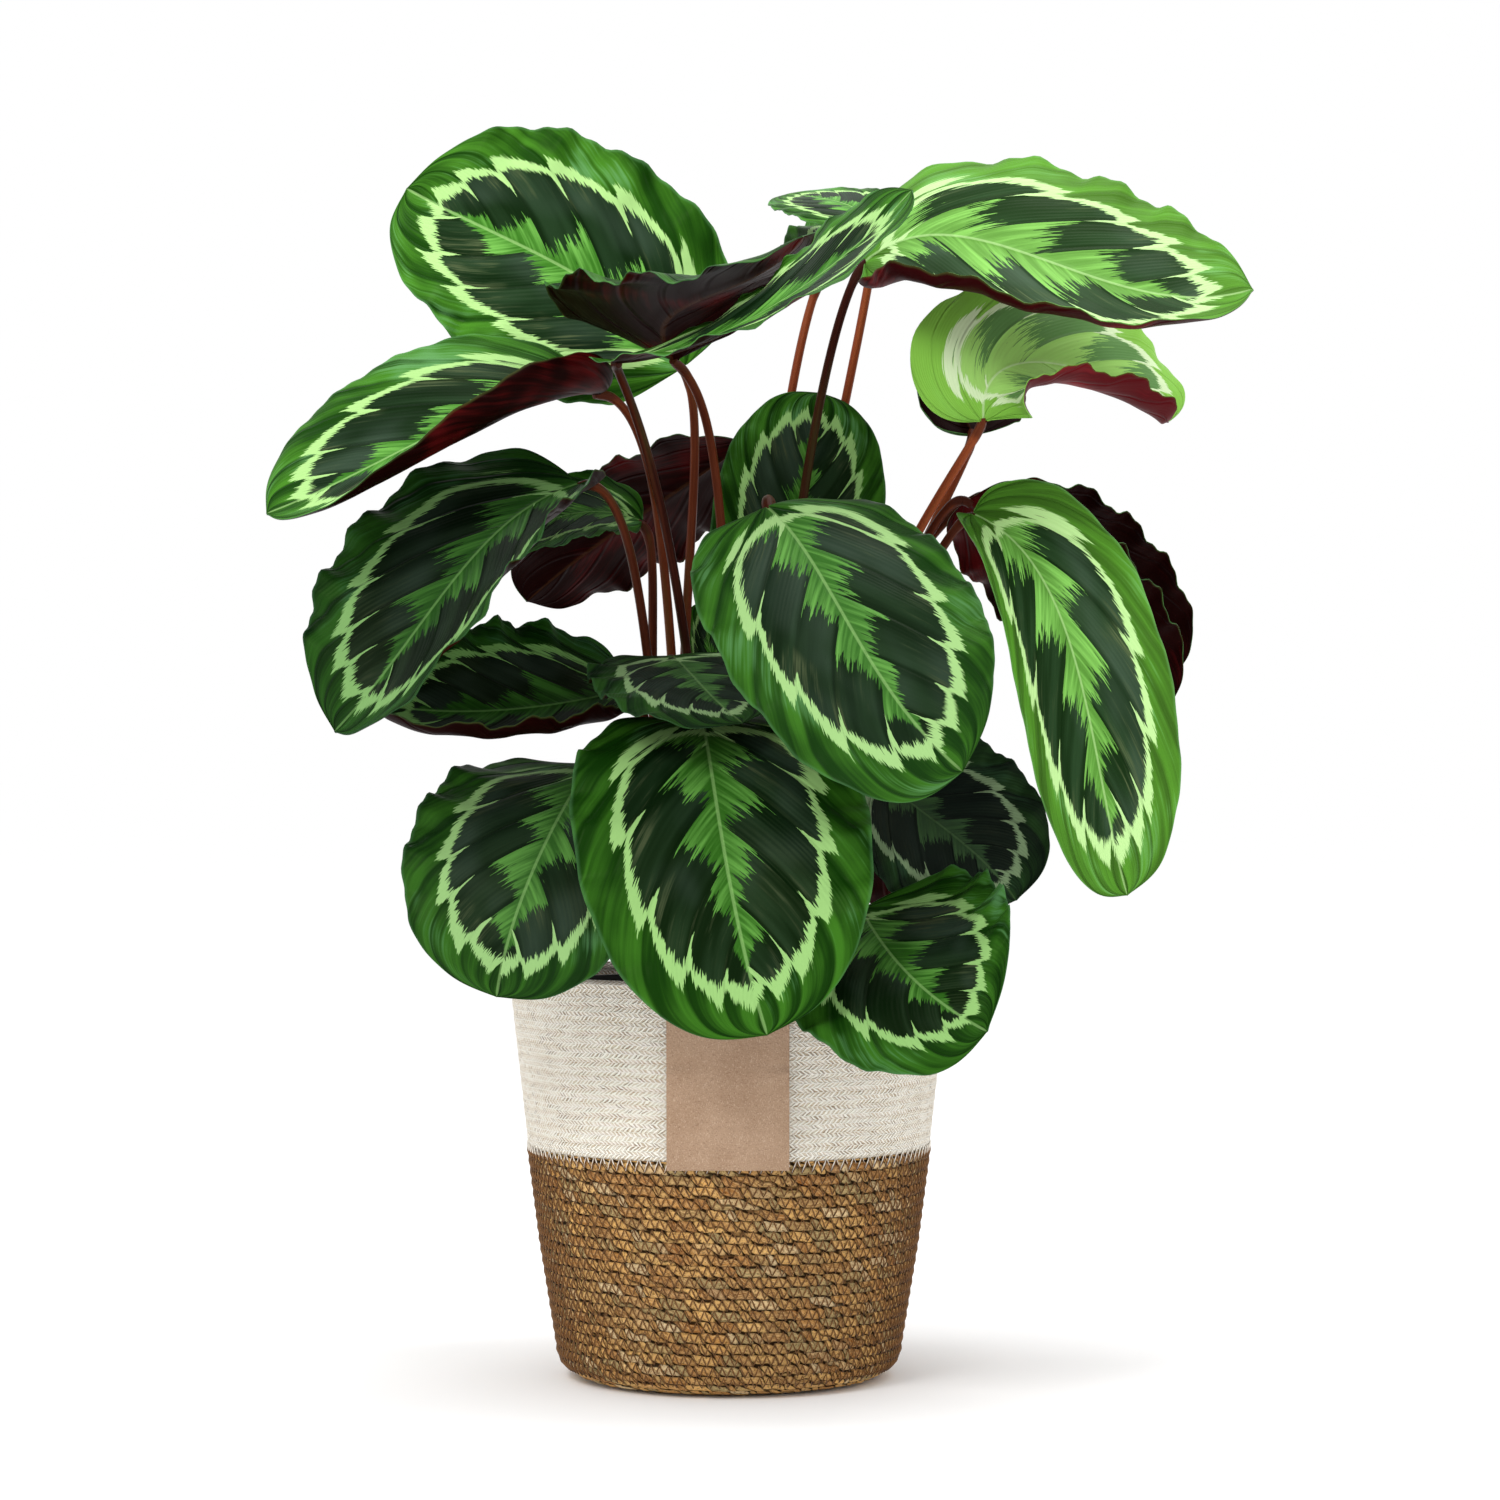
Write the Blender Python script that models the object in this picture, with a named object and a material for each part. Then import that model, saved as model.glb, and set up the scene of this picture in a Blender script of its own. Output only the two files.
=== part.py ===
"""A potted calathea: a leafy plant in a nursery pot, which stands in a woven basket.

The origin is the centre of the basket's underside, +Z is up and -Y is the front, where the card
tag hangs. All values are in millimetres and degrees. The meshes are made in metres.
"""
import math
from collections import namedtuple

import bmesh
import bpy
import numpy as np

METRE = 0.001
GAP = 0.3

# Basket: outer radius by height, wall and rope rows
BASE_RADIUS = 83.0
CORNER_RADIUS = 19.0
WALL_PROFILE = ((19.0, 102.0), (37.0, 105.0), (80.0, 112.0), (137.0, 119.4), (240.0, 131.0))
FLOOR_THICKNESS = 7.0
SEAGRASS_WALL = 7.0
SEAGRASS_ROWS = 18
COTTON_WALL = 8.0
COTTON_ROWS = 13
JOIN_HEIGHT = 137.0
RIM_HEIGHT = 240.0
ROW_RELIEF = 1.1
INSIDE_LOW = 30.0
INSIDE_CORNER = 2.0
RIM_ROUNDING = 3.0
BASKET_SIDES = 26

# Card tag: folded over the front rim
TAG_WIDTH = 69.5
TAG_BOTTOM = 133.0
TAG_THICKNESS = 0.8
TAG_INSIDE_DEPTH = 18.0
TAG_INSIDE_Y = -113.6
TAG_FOLD = 3.0
TAG_FOLD_DROP = 2.0

# Nursery pot and soil
POT_BOTTOM_RADIUS = 80.0
POT_TOP_RADIUS = 108.0
POT_RIM_RADIUS = 111.5
POT_RIM_DROP = 14.0
POT_WALL = 1.4
POT_TOP = 233.0
POT_SIDES = 26
SOIL_EDGE = 222.0
SOIL_CROWN = 233.0
SOIL_CROWN_RADIUS = 58.0
SOIL_SHOULDER = 18.0
SOIL_SHOULDER_RISE = 6.0
SOIL_CLEARANCE = 1.5
HOLE_CUTTER_TOP = 5.0

# Stems
STEM_SIDES = 6
STEM_RINGS = 9
STEM_ROOT_RADIUS = 3.5
STEM_TOP_RADIUS = 2.9
STEM_HOLE_DEPTH = 16.0
STEM_STRAIGHT = 4.0
STEM_LEAN = 0.005
STEM_SPACING = 1.5

# Blades
BLADE_THICKNESS = 0.8
RIB_THICKNESS = 2.6
BLADE_END_HALF_WIDTH = 2.6
OUTLINE_SKEW = 0.92
OUTLINE_POWER = 2.3
LOBE = 0.14
LOBE_START = 40
MARGIN_WAVES = 5
WAVE_HEIGHT = 0.05
BLADE_COLUMNS = (0.3, 0.65, 1.0)
SMALL_HALF_WIDTH = 40
SMALL_WAVES = 3
SMALL_COLUMNS = (0.45, 1.0)

# One leaf. root: where its stem stands in the soil. spine: four points of the midrib, from the
# stem to the tip. faces: the way the upper side looks, at the stem and at the tip. left, right:
# how far each half has risen towards the upper side at its margin, at the stem and at the tip,
# for someone who looks along the midrib from the stem with the upper side up. fold: the same at
# the midrib. rise, reach: how long the stem keeps its way up from the soil and into the blade.
Leaf = namedtuple("Leaf", "name root half_width spine faces left right fold rise reach")


def leaf(name, root, half_width, spine, faces, left, right, fold=8, rise=120, reach=40):
    """A Leaf with the usual fold and stem, unless they are given."""
    return Leaf(name, root, half_width, spine, faces, left, right, fold, rise, reach)


LEAVES = (
    leaf("top_left", (-21, 2), 83,
         ((-28, 34, 602), (-62, 31, 637), (-124, 30, 674), (-195, 36, 710)),
         ((0.1, -0.95, 0.3), (0.1, -0.95, 0.3)), (0, 20), (5, 5), rise=200),
    leaf("top_curled", (1, -4), 80,
         ((-32, -5, 603), (-36, -45, 623), (0, -92, 636), (42, -126, 661)),
         ((0.05, 0.1, 1), (-0.1, -0.15, 1)), (40, 10), (33, -20), rise=340, reach=40),
    leaf("top_middle", (-9, -5), 54,
         ((-64, -118, 592), (-12, -162, 599), (42, -192, 625), (101, -207, 676)),
         ((-0.15, -0.25, 0.97), (-0.45, -0.6, 0.65)), (0, -10), (20, 25), rise=330, reach=15),
    leaf("top_back", (16, 36), 45,
         ((88, 52, 688), (78, 72, 702), (58, 97, 712), (37, 118, 718)),
         ((0, -0.35, 0.95), (0, -0.35, 0.95)), (0, 0), (0, 0), fold=0, rise=220, reach=30),
    leaf("top_right", (14, 1), 77,
         ((81, 5, 662), (118, -25, 674), (224, -70, 640), (301, -90, 635)),
         ((-0.05, -0.9, 0.4), (0, -0.7, 0.7)), (-35, 8), (15, 35), rise=200),
    leaf("left_high", (-20, 13), 75,
         ((-77, -25, 582), (-115, -55, 576), (-176, -90, 548), (-262, -112, 505)),
         ((0, -0.6, 0.8), (-0.3, -0.6, 0.7)), (90, 20), (15, 15), rise=200, reach=60),
    leaf("left_mid", (-27, -16), 80,
         ((-86, -70, 525), (-129, -105, 497), (-171, -140, 443), (-219, -155, 381)),
         ((-0.3, -0.7, 0.65), (-0.45, -0.75, 0.5)), (60, 40), (10, 10), rise=160, reach=50),
    leaf("left_low", (-41, -9), 62,
         ((-56, -35, 407), (-97, -60, 398), (-147, -85, 393), (-202, -100, 397)),
         ((0, -0.8, 0.6), (0, -0.8, 0.6)), (70, 60), (10, 10), rise=90, reach=20),
    leaf("left_back", (-12, 26), 56,
         ((8, 70, 559), (-35, 100, 531), (-82, 128, 501), (-129, 150, 465)),
         ((0.1, 0.5, 0.86), (0, 0.6, 0.8)), (-30, -20), (10, 10), rise=180),
    leaf("left_small", (-31, -3), 34,
         ((-52, 0, 507), (-80, -10, 512), (-112, -25, 504), (-146, -35, 488)),
         ((0, -0.6, 0.8), (0, -0.6, 0.8)), (10, 10), (30, 30), rise=180, reach=20),
    leaf("centre_back", (13, 20), 53,
         ((31, 17, 440), (38, 22, 490), (46, 27, 540), (55, 38, 587)),
         ((0, -1, 0.1), (0, -1, 0.2)), (10, 10), (10, 10), rise=90, reach=50),
    leaf("centre_front", (17, -9), 77,
         ((22, -110, 509), (54, -160, 464), (89, -190, 404), (129, -195, 359)),
         ((-0.1, -0.75, 0.6), (0.2, -0.95, 0.1)), (-40, 0), (5, 5), rise=330, reach=14),
    leaf("centre_shelf", (-12, -22), 64,
         ((-33, -38, 426), (-21, -75, 414), (-8, -110, 400), (8, -135, 386)),
         ((0, -0.3, 0.95), (0, -0.4, 0.9)), (-5, -5), (0, 0), rise=100, reach=30),
    leaf("front_low", (-2, -42), 85,
         ((-15, -75, 388), (-5, -150, 333), (6, -180, 275), (22, -185, 214)),
         ((0, -0.55, 0.83), (0, -1, -0.05)), (5, 5), (5, 5), rise=110, reach=20),
    leaf("front_left_low", (-28, -32), 78,
         ((-79, -70, 363), (-99, -125, 326), (-118, -150, 279), (-129, -150, 233)),
         ((-0.25, -0.85, 0.45), (-0.25, -0.95, 0.1)), (5, 5), (5, 5), rise=70, reach=20),
    leaf("front_right_low", (24, -35), 74,
         ((76, -95, 280), (95, -145, 252), (117, -172, 232), (143, -185, 216)),
         ((0.1, -0.8, 0.6), (0.1, -0.9, 0.4)), (45, 30), (0, 0), rise=50, reach=20),
    leaf("right_low", (35, -22), 57,
         ((88, -32, 356), (110, -52, 337), (138, -66, 315), (166, -72, 284)),
         ((0.1, -0.8, 0.6), (0.1, -0.9, 0.4)), (40, 30), (5, 5), rise=90, reach=20),
    leaf("right_droop", (41, -8), 52,
         ((142, -60, 508), (182, -110, 462), (204, -140, 383), (225, -130, 289)),
         ((-0.1, -0.9, 0.4), (0.1, -0.95, 0.1)), (60, 0), (100, 30), rise=170, reach=20),
    leaf("right_back_near", (41, 8), 52,
         ((142, -14, 519), (185, 8, 478), (230, 30, 433), (268, 38, 400)),
         ((0.4, 0.7, 0.5), (0.4, 0.7, 0.5)), (10, 10), (10, 10), rise=170, reach=30),
    leaf("right_back_far", (27, 24), 45,
         ((160, 50, 526), (202, 86, 503), (244, 108, 464), (279, 112, 420)),
         ((0.3, 0.6, 0.7), (0.4, 0.7, 0.5)), (10, 10), (10, 10), rise=190, reach=40),
    leaf("right_high", (27, -5), 66,
         ((150, -26, 565), (158, -30, 592), (200, -22, 597), (261, -6, 566)),
         ((0.1, -0.85, 0.5), (0, -0.75, 0.65)), (20, -40), (70, 110), rise=220, reach=15),
    leaf("right_high_back", (29, 11), 42,
         ((146, 20, 560), (139, 46, 584), (131, 58, 610), (121, 62, 636)),
         ((0, 0.95, -0.1), (0, 0.95, 0.2)), (5, 5), (-60, -180), rise=170, reach=30),
    leaf("inner", (-4, 12), 18,
         ((-5, 16, 380), (-8, 22, 407), (-12, 30, 434), (-17, 42, 460)),
         ((0, -0.9, 0.4), (0, -0.9, 0.4)), (50, 50), (50, 50), rise=60, reach=40),
    leaf("back_low", (0, 44), 66,
         ((14, 90, 402), (10, 140, 353), (2, 165, 289), (-5, 165, 238)),
         ((0, 0.8, 0.6), (0, 1, 0)), (5, 5), (5, 5), rise=100, reach=25),
    leaf("back_right_low", (34, 36), 55,
         ((74, 75, 347), (102, 115, 318), (128, 142, 280), (142, 142, 240)),
         ((0.4, 0.8, 0.5), (0.5, 0.8, 0)), (5, 5), (5, 5), rise=80, reach=25),
    leaf("back_left_low", (-28, 34), 56,
         ((-80, 70, 341), (-116, 110, 321), (-146, 135, 289), (-164, 135, 251)),
         ((-0.4, 0.8, 0.5), (-0.5, 0.8, 0)), (5, 5), (5, 5), rise=80, reach=25),
    leaf("back_high", (6, 28), 48,
         ((56, 70, 660), (80, 110, 692), (106, 155, 706), (132, 195, 696)),
         ((0, -0.1, 1), (0, 0.3, 0.95)), (10, 10), (10, 10), rise=220, reach=40),
)


def plain_material(name, colour, roughness):
    """A Principled material of one colour."""
    material = bpy.data.materials.new(name)
    material.use_nodes = True
    shader = material.node_tree.nodes["Principled BSDF"]
    shader.inputs["Base Color"].default_value = (*colour, 1.0)
    shader.inputs["Roughness"].default_value = roughness
    shader.inputs["Metallic"].default_value = 0.0
    return material


def add_object(name, points, faces, material, smooth_angle=35):
    """A mesh object from points in millimetres and faces that point outwards."""
    mesh = bpy.data.meshes.new(name)
    mesh.from_pydata((np.asarray(points, dtype=float) * METRE).tolist(), [], faces)
    mesh.validate()
    mesh.shade_smooth()
    mesh.set_sharp_from_angle(angle=math.radians(smooth_angle))
    mesh.materials.append(material)
    thing = bpy.data.objects.new(name, mesh)
    bpy.context.scene.collection.objects.link(thing)
    return thing


def unit(vectors):
    """Vectors scaled to a length of one."""
    vectors = np.asarray(vectors, dtype=float)
    return vectors / np.linalg.norm(vectors, axis=-1, keepdims=True)


def turned_solid(name, profile, sides, material):
    """A ring or cup: a closed profile of (radius, height) points, turned about Z. The profile
    runs up the outside and down the inside, and a point on the axis makes a pole."""
    angles = np.arange(sides) * 2 * math.pi / sides
    points = []
    rings = []
    for radius, height in profile:
        if radius == 0:
            rings.append([len(points)] * sides)
            points.append((0.0, 0.0, height))
        else:
            rings.append(list(range(len(points), len(points) + sides)))
            points += [(radius * math.cos(a), radius * math.sin(a), height) for a in angles]
    faces = []
    for low, high in zip(rings, rings[1:] + rings[:1]):
        for i in range(sides):
            j = (i + 1) % sides
            corners = [low[i], low[j], high[j], high[i]]
            corners = list(dict.fromkeys(corners))
            if len(corners) > 2:
                faces.append(corners)
    return add_object(name, points, faces, material)


def wall_radius(height):
    """The basket's outer radius at a height above its rounded corner."""
    heights = [h for h, _ in WALL_PROFILE]
    radii = [r for _, r in WALL_PROFILE]
    return float(np.interp(height, heights, radii))


def rope_rows(bottom, top, rows):
    """The outer profile of coiled rope rows: a groove between rows and a crest on each."""
    pitch = (top - bottom) / rows
    outline = []
    for row in range(rows):
        groove = bottom + row * pitch
        crest = groove + pitch / 2
        if row > 0:
            outline.append((wall_radius(groove) - ROW_RELIEF, groove))
        outline.append((wall_radius(crest), crest))
    return outline


def make_seagrass_basket(material):
    """The lower basket: a flat floor, a round corner and rope rows up to the join."""
    corner_top = WALL_PROFILE[0][0]
    corner = []
    for step in range(4):
        angle = math.radians(90 * step / 3)
        corner.append((BASE_RADIUS + CORNER_RADIUS * math.sin(angle),
                       corner_top - CORNER_RADIUS * math.cos(angle)))
    rows = rope_rows(corner_top, JOIN_HEIGHT, SEAGRASS_ROWS)
    top = (wall_radius(JOIN_HEIGHT) - ROW_RELIEF, JOIN_HEIGHT)
    inside_top = (wall_radius(JOIN_HEIGHT) - SEAGRASS_WALL, JOIN_HEIGHT)
    inside_low = (wall_radius(INSIDE_LOW) - SEAGRASS_WALL, INSIDE_LOW)
    inside_floor = (BASE_RADIUS + INSIDE_CORNER, FLOOR_THICKNESS)
    profile = [(0, 0), *corner, *rows, top, inside_top, inside_low, inside_floor,
               (0, FLOOR_THICKNESS)]
    return turned_solid("basket_seagrass", profile, BASKET_SIDES, material)


def make_cotton_band(material):
    """The upper band: cotton rope rows from the join to the rim."""
    bottom = JOIN_HEIGHT + GAP
    rows = rope_rows(bottom, RIM_HEIGHT, COTTON_ROWS)
    rim = wall_radius(RIM_HEIGHT)
    profile = [(wall_radius(bottom) - ROW_RELIEF, bottom), *rows,
               (rim - COTTON_WALL / 3, RIM_HEIGHT), (rim - COTTON_WALL * 2 / 3, RIM_HEIGHT),
               (rim - COTTON_WALL, RIM_HEIGHT - RIM_ROUNDING),
               (wall_radius(bottom) - COTTON_WALL, bottom)]
    return turned_solid("basket_cotton_band", profile, BASKET_SIDES, material)


def make_tag(material):
    """The card tag: a strip that is folded over the front rim, flat and bare."""
    rim_y = -wall_radius(RIM_HEIGHT) - GAP
    foot_y = -wall_radius(TAG_BOTTOM) - GAP - ROW_RELIEF
    top = RIM_HEIGHT + GAP
    inner = [(foot_y, TAG_BOTTOM), (rim_y, RIM_HEIGHT - TAG_FOLD_DROP), (rim_y + TAG_FOLD, top),
             (TAG_INSIDE_Y - TAG_FOLD, top), (TAG_INSIDE_Y, RIM_HEIGHT - TAG_FOLD),
             (TAG_INSIDE_Y, RIM_HEIGHT - TAG_INSIDE_DEPTH)]
    line = np.array(inner)
    along = unit(np.gradient(line, axis=0))
    outer = line + TAG_THICKNESS * np.stack([-along[:, 1], along[:, 0]], axis=1)
    half = TAG_WIDTH / 2
    points = []
    for x in (-half, half):
        points += [(x, y, z) for y, z in line]
        points += [(x, y, z) for y, z in outer]
    count = len(line)
    faces = []
    for i in range(count - 1):
        j = i + 1
        faces.append((i, 2 * count + i, 2 * count + j, j))
        faces.append((count + i, count + j, 3 * count + j, 3 * count + i))
        faces.append((i, j, count + j, count + i))
        faces.append((2 * count + i, 3 * count + i, 3 * count + j, 2 * count + j))
    last = count - 1
    faces.append((0, count, 3 * count, 2 * count))
    faces.append((last, 2 * count + last, 3 * count + last, count + last))
    tag = add_object("card_tag", points, faces, material)
    mesh = bmesh.new()
    mesh.from_mesh(tag.data)
    bmesh.ops.recalc_face_normals(mesh, faces=mesh.faces)
    mesh.to_mesh(tag.data)
    mesh.free()
    return tag


def make_nursery_pot(material):
    """The plastic pot that the plant grows in, with a thick rolled rim."""
    floor = FLOOR_THICKNESS + GAP
    rim_low = POT_TOP - POT_RIM_DROP
    profile = [(0, floor), (POT_BOTTOM_RADIUS, floor), (POT_TOP_RADIUS - 1, rim_low),
               (POT_RIM_RADIUS, rim_low), (POT_RIM_RADIUS, POT_TOP),
               (POT_TOP_RADIUS - POT_WALL, POT_TOP),
               (POT_BOTTOM_RADIUS - POT_WALL, floor + POT_WALL), (0, floor + POT_WALL)]
    return turned_solid("nursery_pot", profile, POT_SIDES, material)


def make_soil(material):
    """The soil in the nursery pot, with one plain hole for each stem."""
    floor = FLOOR_THICKNESS + GAP
    low = floor + POT_WALL + GAP
    height = POT_TOP - floor
    slope = (POT_TOP_RADIUS - POT_BOTTOM_RADIUS) / height
    inset = POT_WALL + 2 * GAP
    low_radius = POT_BOTTOM_RADIUS - inset
    edge_radius = POT_BOTTOM_RADIUS + slope * (SOIL_EDGE - floor) - inset - SOIL_CLEARANCE
    profile = [(0, low), (low_radius, low), (edge_radius, SOIL_EDGE),
               (edge_radius - SOIL_SHOULDER, SOIL_EDGE + SOIL_SHOULDER_RISE),
               (SOIL_CROWN_RADIUS, SOIL_CROWN), (0, SOIL_CROWN)]
    soil = turned_solid("potting_soil", profile, POT_SIDES, material)
    cutters = bpy.data.collections.new("stem_holes")
    bpy.context.scene.collection.children.link(cutters)
    for item in LEAVES:
        radius = (STEM_ROOT_RADIUS + GAP) / math.cos(math.pi / STEM_SIDES)
        bottom = SOIL_CROWN - STEM_HOLE_DEPTH - GAP
        holes = []
        for z in (bottom, SOIL_CROWN + HOLE_CUTTER_TOP):
            for side in range(STEM_SIDES):
                angle = 2 * math.pi * side / STEM_SIDES
                holes.append((item.root[0] + radius * math.cos(angle),
                              item.root[1] + radius * math.sin(angle), z))
        faces = [tuple(range(STEM_SIDES))[::-1], tuple(range(STEM_SIDES, 2 * STEM_SIDES))]
        for side in range(STEM_SIDES):
            after = (side + 1) % STEM_SIDES
            faces.append((side, after, STEM_SIDES + after, STEM_SIDES + side))
        cutter = add_object("hole_" + item.name, holes, faces, material)
        cutter.hide_render = True
        cutter.display_type = "WIRE"
        bpy.context.scene.collection.objects.unlink(cutter)
        cutters.objects.link(cutter)
    cut = soil.modifiers.new("stem_holes", "BOOLEAN")
    cut.operation = "DIFFERENCE"
    cut.operand_type = "COLLECTION"
    cut.collection = cutters
    bpy.context.view_layer.update()
    graph = bpy.context.evaluated_depsgraph_get()
    finished = bpy.data.meshes.new_from_object(soil.evaluated_get(graph))
    soil.modifiers.clear()
    soil.data = finished
    for cutter in list(cutters.objects):
        bpy.data.objects.remove(cutter)
    bpy.data.collections.remove(cutters)
    return soil


def spine_curve(points, u):
    """The midrib and its direction: the cubic through the four points, set apart along u by
    the lengths between them."""
    points = np.array(points, dtype=float)
    steps = np.linalg.norm(np.diff(points, axis=0), axis=1)
    knots = np.concatenate([[0], np.cumsum(steps)]) / steps.sum()
    factors = np.linalg.solve(np.vander(knots, 4), points)
    place = np.vander(u, 4) @ factors
    slope = np.stack([3 * u ** 2, 2 * u, np.ones_like(u)], axis=1) @ factors[:3]
    return place, unit(slope)


def blade_axes(item, u):
    """The midrib, its direction, the way the upper side faces and the way to the right."""
    middle, tangent = spine_curve(item.spine, u)
    face_stem, face_tip = unit(item.faces)
    face = face_stem + u[:, None] * (face_tip - face_stem)
    face = unit(face - (face * tangent).sum(axis=1, keepdims=True) * tangent)
    return middle, tangent, face, np.cross(tangent, face)


def blade_half_width(item, u):
    """Half the blade's width at u: a rounded oval that is widest before its middle."""
    oval = 1 - np.abs(2 * u ** OUTLINE_SKEW - 1) ** OUTLINE_POWER
    return np.maximum(item.half_width * np.sqrt(np.clip(oval, 0, 1)), BLADE_END_HALF_WIDTH)


def blade_surface(item, u, v):
    """The middle surface of a blade at the grid of u, from stem to tip, and v, from -1 at the
    left margin to 1 at the right. Each half is an arc that starts at the fold angle and ends at
    its margin's angle. The margin waves, and the lobes by the stem reach back a little."""
    middle, tangent, face, across = blade_axes(item, u)
    width = blade_half_width(item, u)[:, None]
    side = np.where(v < 0, -1.0, 1.0)[None, :]
    t = np.abs(v)[None, :]
    stem_end = np.where(v < 0, item.left[0], item.right[0])[None, :]
    tip_end = np.where(v < 0, item.left[1], item.right[1])[None, :]
    start = math.radians(item.fold)
    turn = np.radians(stem_end + u[:, None] * (tip_end - stem_end)) - start
    turn = np.where(np.abs(turn) < 0.001, 0.001, turn)
    out = (np.sin(start + turn * t) - math.sin(start)) / turn
    up = (math.cos(start) - np.cos(start + turn * t)) / turn
    wave = np.sin(2 * math.pi * MARGIN_WAVES * u)[:, None] * side
    up = up + WAVE_HEIGHT * t ** 3 * wave
    back = LOBE * t ** 2 * (1 - u[:, None]) ** 3 * (1 - (1 - u[:, None]) ** LOBE_START)
    return (middle[:, None, :] + width[:, :, None] * (
        (side * out)[:, :, None] * across[:, None, :] + up[:, :, None] * face[:, None, :]
        - back[:, :, None] * tangent[:, None, :]))


def make_blade(item, material):
    """A leaf blade: a thin closed shell with a thicker midrib, split alike on both faces."""
    small = item.half_width < SMALL_HALF_WIDTH
    waves = SMALL_WAVES if small else MARGIN_WAVES
    u = np.concatenate([[0], (np.arange(2 * waves) + 0.5) / (2 * waves), [1]])
    half = np.array(SMALL_COLUMNS if small else BLADE_COLUMNS)
    v = np.concatenate([-half[::-1], [0], half])
    surface = blade_surface(item, u, v)
    along = np.gradient(surface, axis=0)
    sideways = np.gradient(surface, axis=1)
    normal = unit(np.cross(sideways, along))
    normal[0] = blade_axes(item, u[:1])[2]
    thickness = np.where(v == 0, RIB_THICKNESS, BLADE_THICKNESS)[None, :, None]
    thickness = np.repeat(thickness, len(u), axis=0)
    thickness[0] = RIB_THICKNESS
    rib = thickness - BLADE_THICKNESS
    top = surface + normal * BLADE_THICKNESS / 2
    bottom = surface - normal * (BLADE_THICKNESS / 2 + rib)
    rows, columns = len(u), len(v)
    points = np.concatenate([top.reshape(-1, 3), bottom.reshape(-1, 3)])
    below = rows * columns
    faces = []
    for i in range(rows - 1):
        for j in range(columns - 1):
            a = i * columns + j
            b = a + 1
            c = a + columns + 1
            d = a + columns
            faces += [(a, d, c), (a, c, b)]
            faces += [(below + a, below + c, below + d), (below + a, below + b, below + c)]
    edge = [i * columns for i in range(rows)]
    edge += [(rows - 1) * columns + j for j in range(1, columns)]
    edge += [i * columns + columns - 1 for i in range(rows - 2, -1, -1)]
    edge += list(range(columns - 2, 0, -1))
    for a, b in zip(edge, edge[1:] + edge[:1]):
        faces += [(a, below + a, below + b), (a, below + b, b)]
    blade = add_object("leaf_" + item.name + "_blade", points, faces, material, 180)
    mesh = bmesh.new()
    mesh.from_mesh(blade.data)
    bmesh.ops.recalc_face_normals(mesh, faces=mesh.faces)
    mesh.to_mesh(blade.data)
    mesh.free()
    return blade


def stem_path(item, count):
    """The stem's centre line: straight up out of its hole, then one smooth curve that leaves
    the soil upright and ends along the blade's midrib, a hair short of it."""
    start, direction = spine_curve(item.spine, np.array([0.0]))
    end = start[0] - direction[0] * GAP
    foot = np.array([*item.root, SOIL_CROWN - STEM_HOLE_DEPTH])
    ground = np.array([*item.root, SOIL_CROWN + STEM_STRAIGHT])
    lean = unit([STEM_LEAN * item.root[0], STEM_LEAN * item.root[1], 1])
    handle_low = ground + item.rise * lean
    handle_high = end - direction[0] * item.reach
    t = 1 - (1 - np.linspace(0, 1, count)[:, None]) ** STEM_SPACING
    curve = ((1 - t) ** 3 * ground + 3 * (1 - t) ** 2 * t * handle_low
             + 3 * (1 - t) * t ** 2 * handle_high + t ** 3 * end)
    return np.concatenate([[foot], curve])


def make_stem(item, material):
    """A leaf stem: a round tube along its path, a little thinner towards the blade."""
    path = stem_path(item, STEM_RINGS)
    direction = unit(np.gradient(path, axis=0))
    direction[0] = (0, 0, 1)
    direction[1] = (0, 0, 1)
    direction[-1] = spine_curve(item.spine, np.array([0.0]))[1][0]
    side = np.array([1.0, 0, 0])
    points = []
    for i, centre in enumerate(path):
        side = unit(side - np.dot(side, direction[i]) * direction[i])
        other = np.cross(direction[i], side)
        share = i / (len(path) - 1)
        radius = STEM_ROOT_RADIUS + share * (STEM_TOP_RADIUS - STEM_ROOT_RADIUS)
        for k in range(STEM_SIDES):
            angle = 2 * math.pi * k / STEM_SIDES
            points.append(centre + radius * (math.cos(angle) * side + math.sin(angle) * other))
    faces = [tuple(range(STEM_SIDES))[::-1]]
    for i in range(len(path) - 1):
        for k in range(STEM_SIDES):
            after = (k + 1) % STEM_SIDES
            low = i * STEM_SIDES
            high = low + STEM_SIDES
            faces.append((low + k, low + after, high + after, high + k))
    last = (len(path) - 1) * STEM_SIDES
    faces.append(tuple(range(last, last + STEM_SIDES)))
    return add_object("leaf_" + item.name + "_stem", points, faces, material)


def main():
    """Builds every piece."""
    for thing in list(bpy.data.objects):
        bpy.data.objects.remove(thing)
    seagrass = plain_material("seagrass", (0.34, 0.20, 0.08), 0.8)
    cotton = plain_material("cotton_rope", (0.82, 0.77, 0.68), 0.9)
    kraft = plain_material("kraft_card", (0.58, 0.38, 0.24), 0.8)
    plastic = plain_material("pot_plastic", (0.03, 0.03, 0.03), 0.5)
    earth = plain_material("potting_soil", (0.05, 0.03, 0.02), 0.95)
    green = plain_material("leaf_green", (0.06, 0.22, 0.05), 0.4)
    red = plain_material("stem_red_brown", (0.13, 0.04, 0.02), 0.4)
    make_seagrass_basket(seagrass)
    make_cotton_band(cotton)
    make_tag(kraft)
    make_nursery_pot(plastic)
    make_soil(earth)
    for item in LEAVES:
        make_blade(item, green)
        make_stem(item, red)


main()
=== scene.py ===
"""The look of a potted calathea in a woven basket: fine surfaces and finishes around the solids.

The origin is the centre of the basket's underside, +Z is up and -Y is the front, where the card
tag hangs. Shapes are worked out in millimetres, and a mesh gets its points in metres.
"""
import math
from collections import namedtuple

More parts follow.
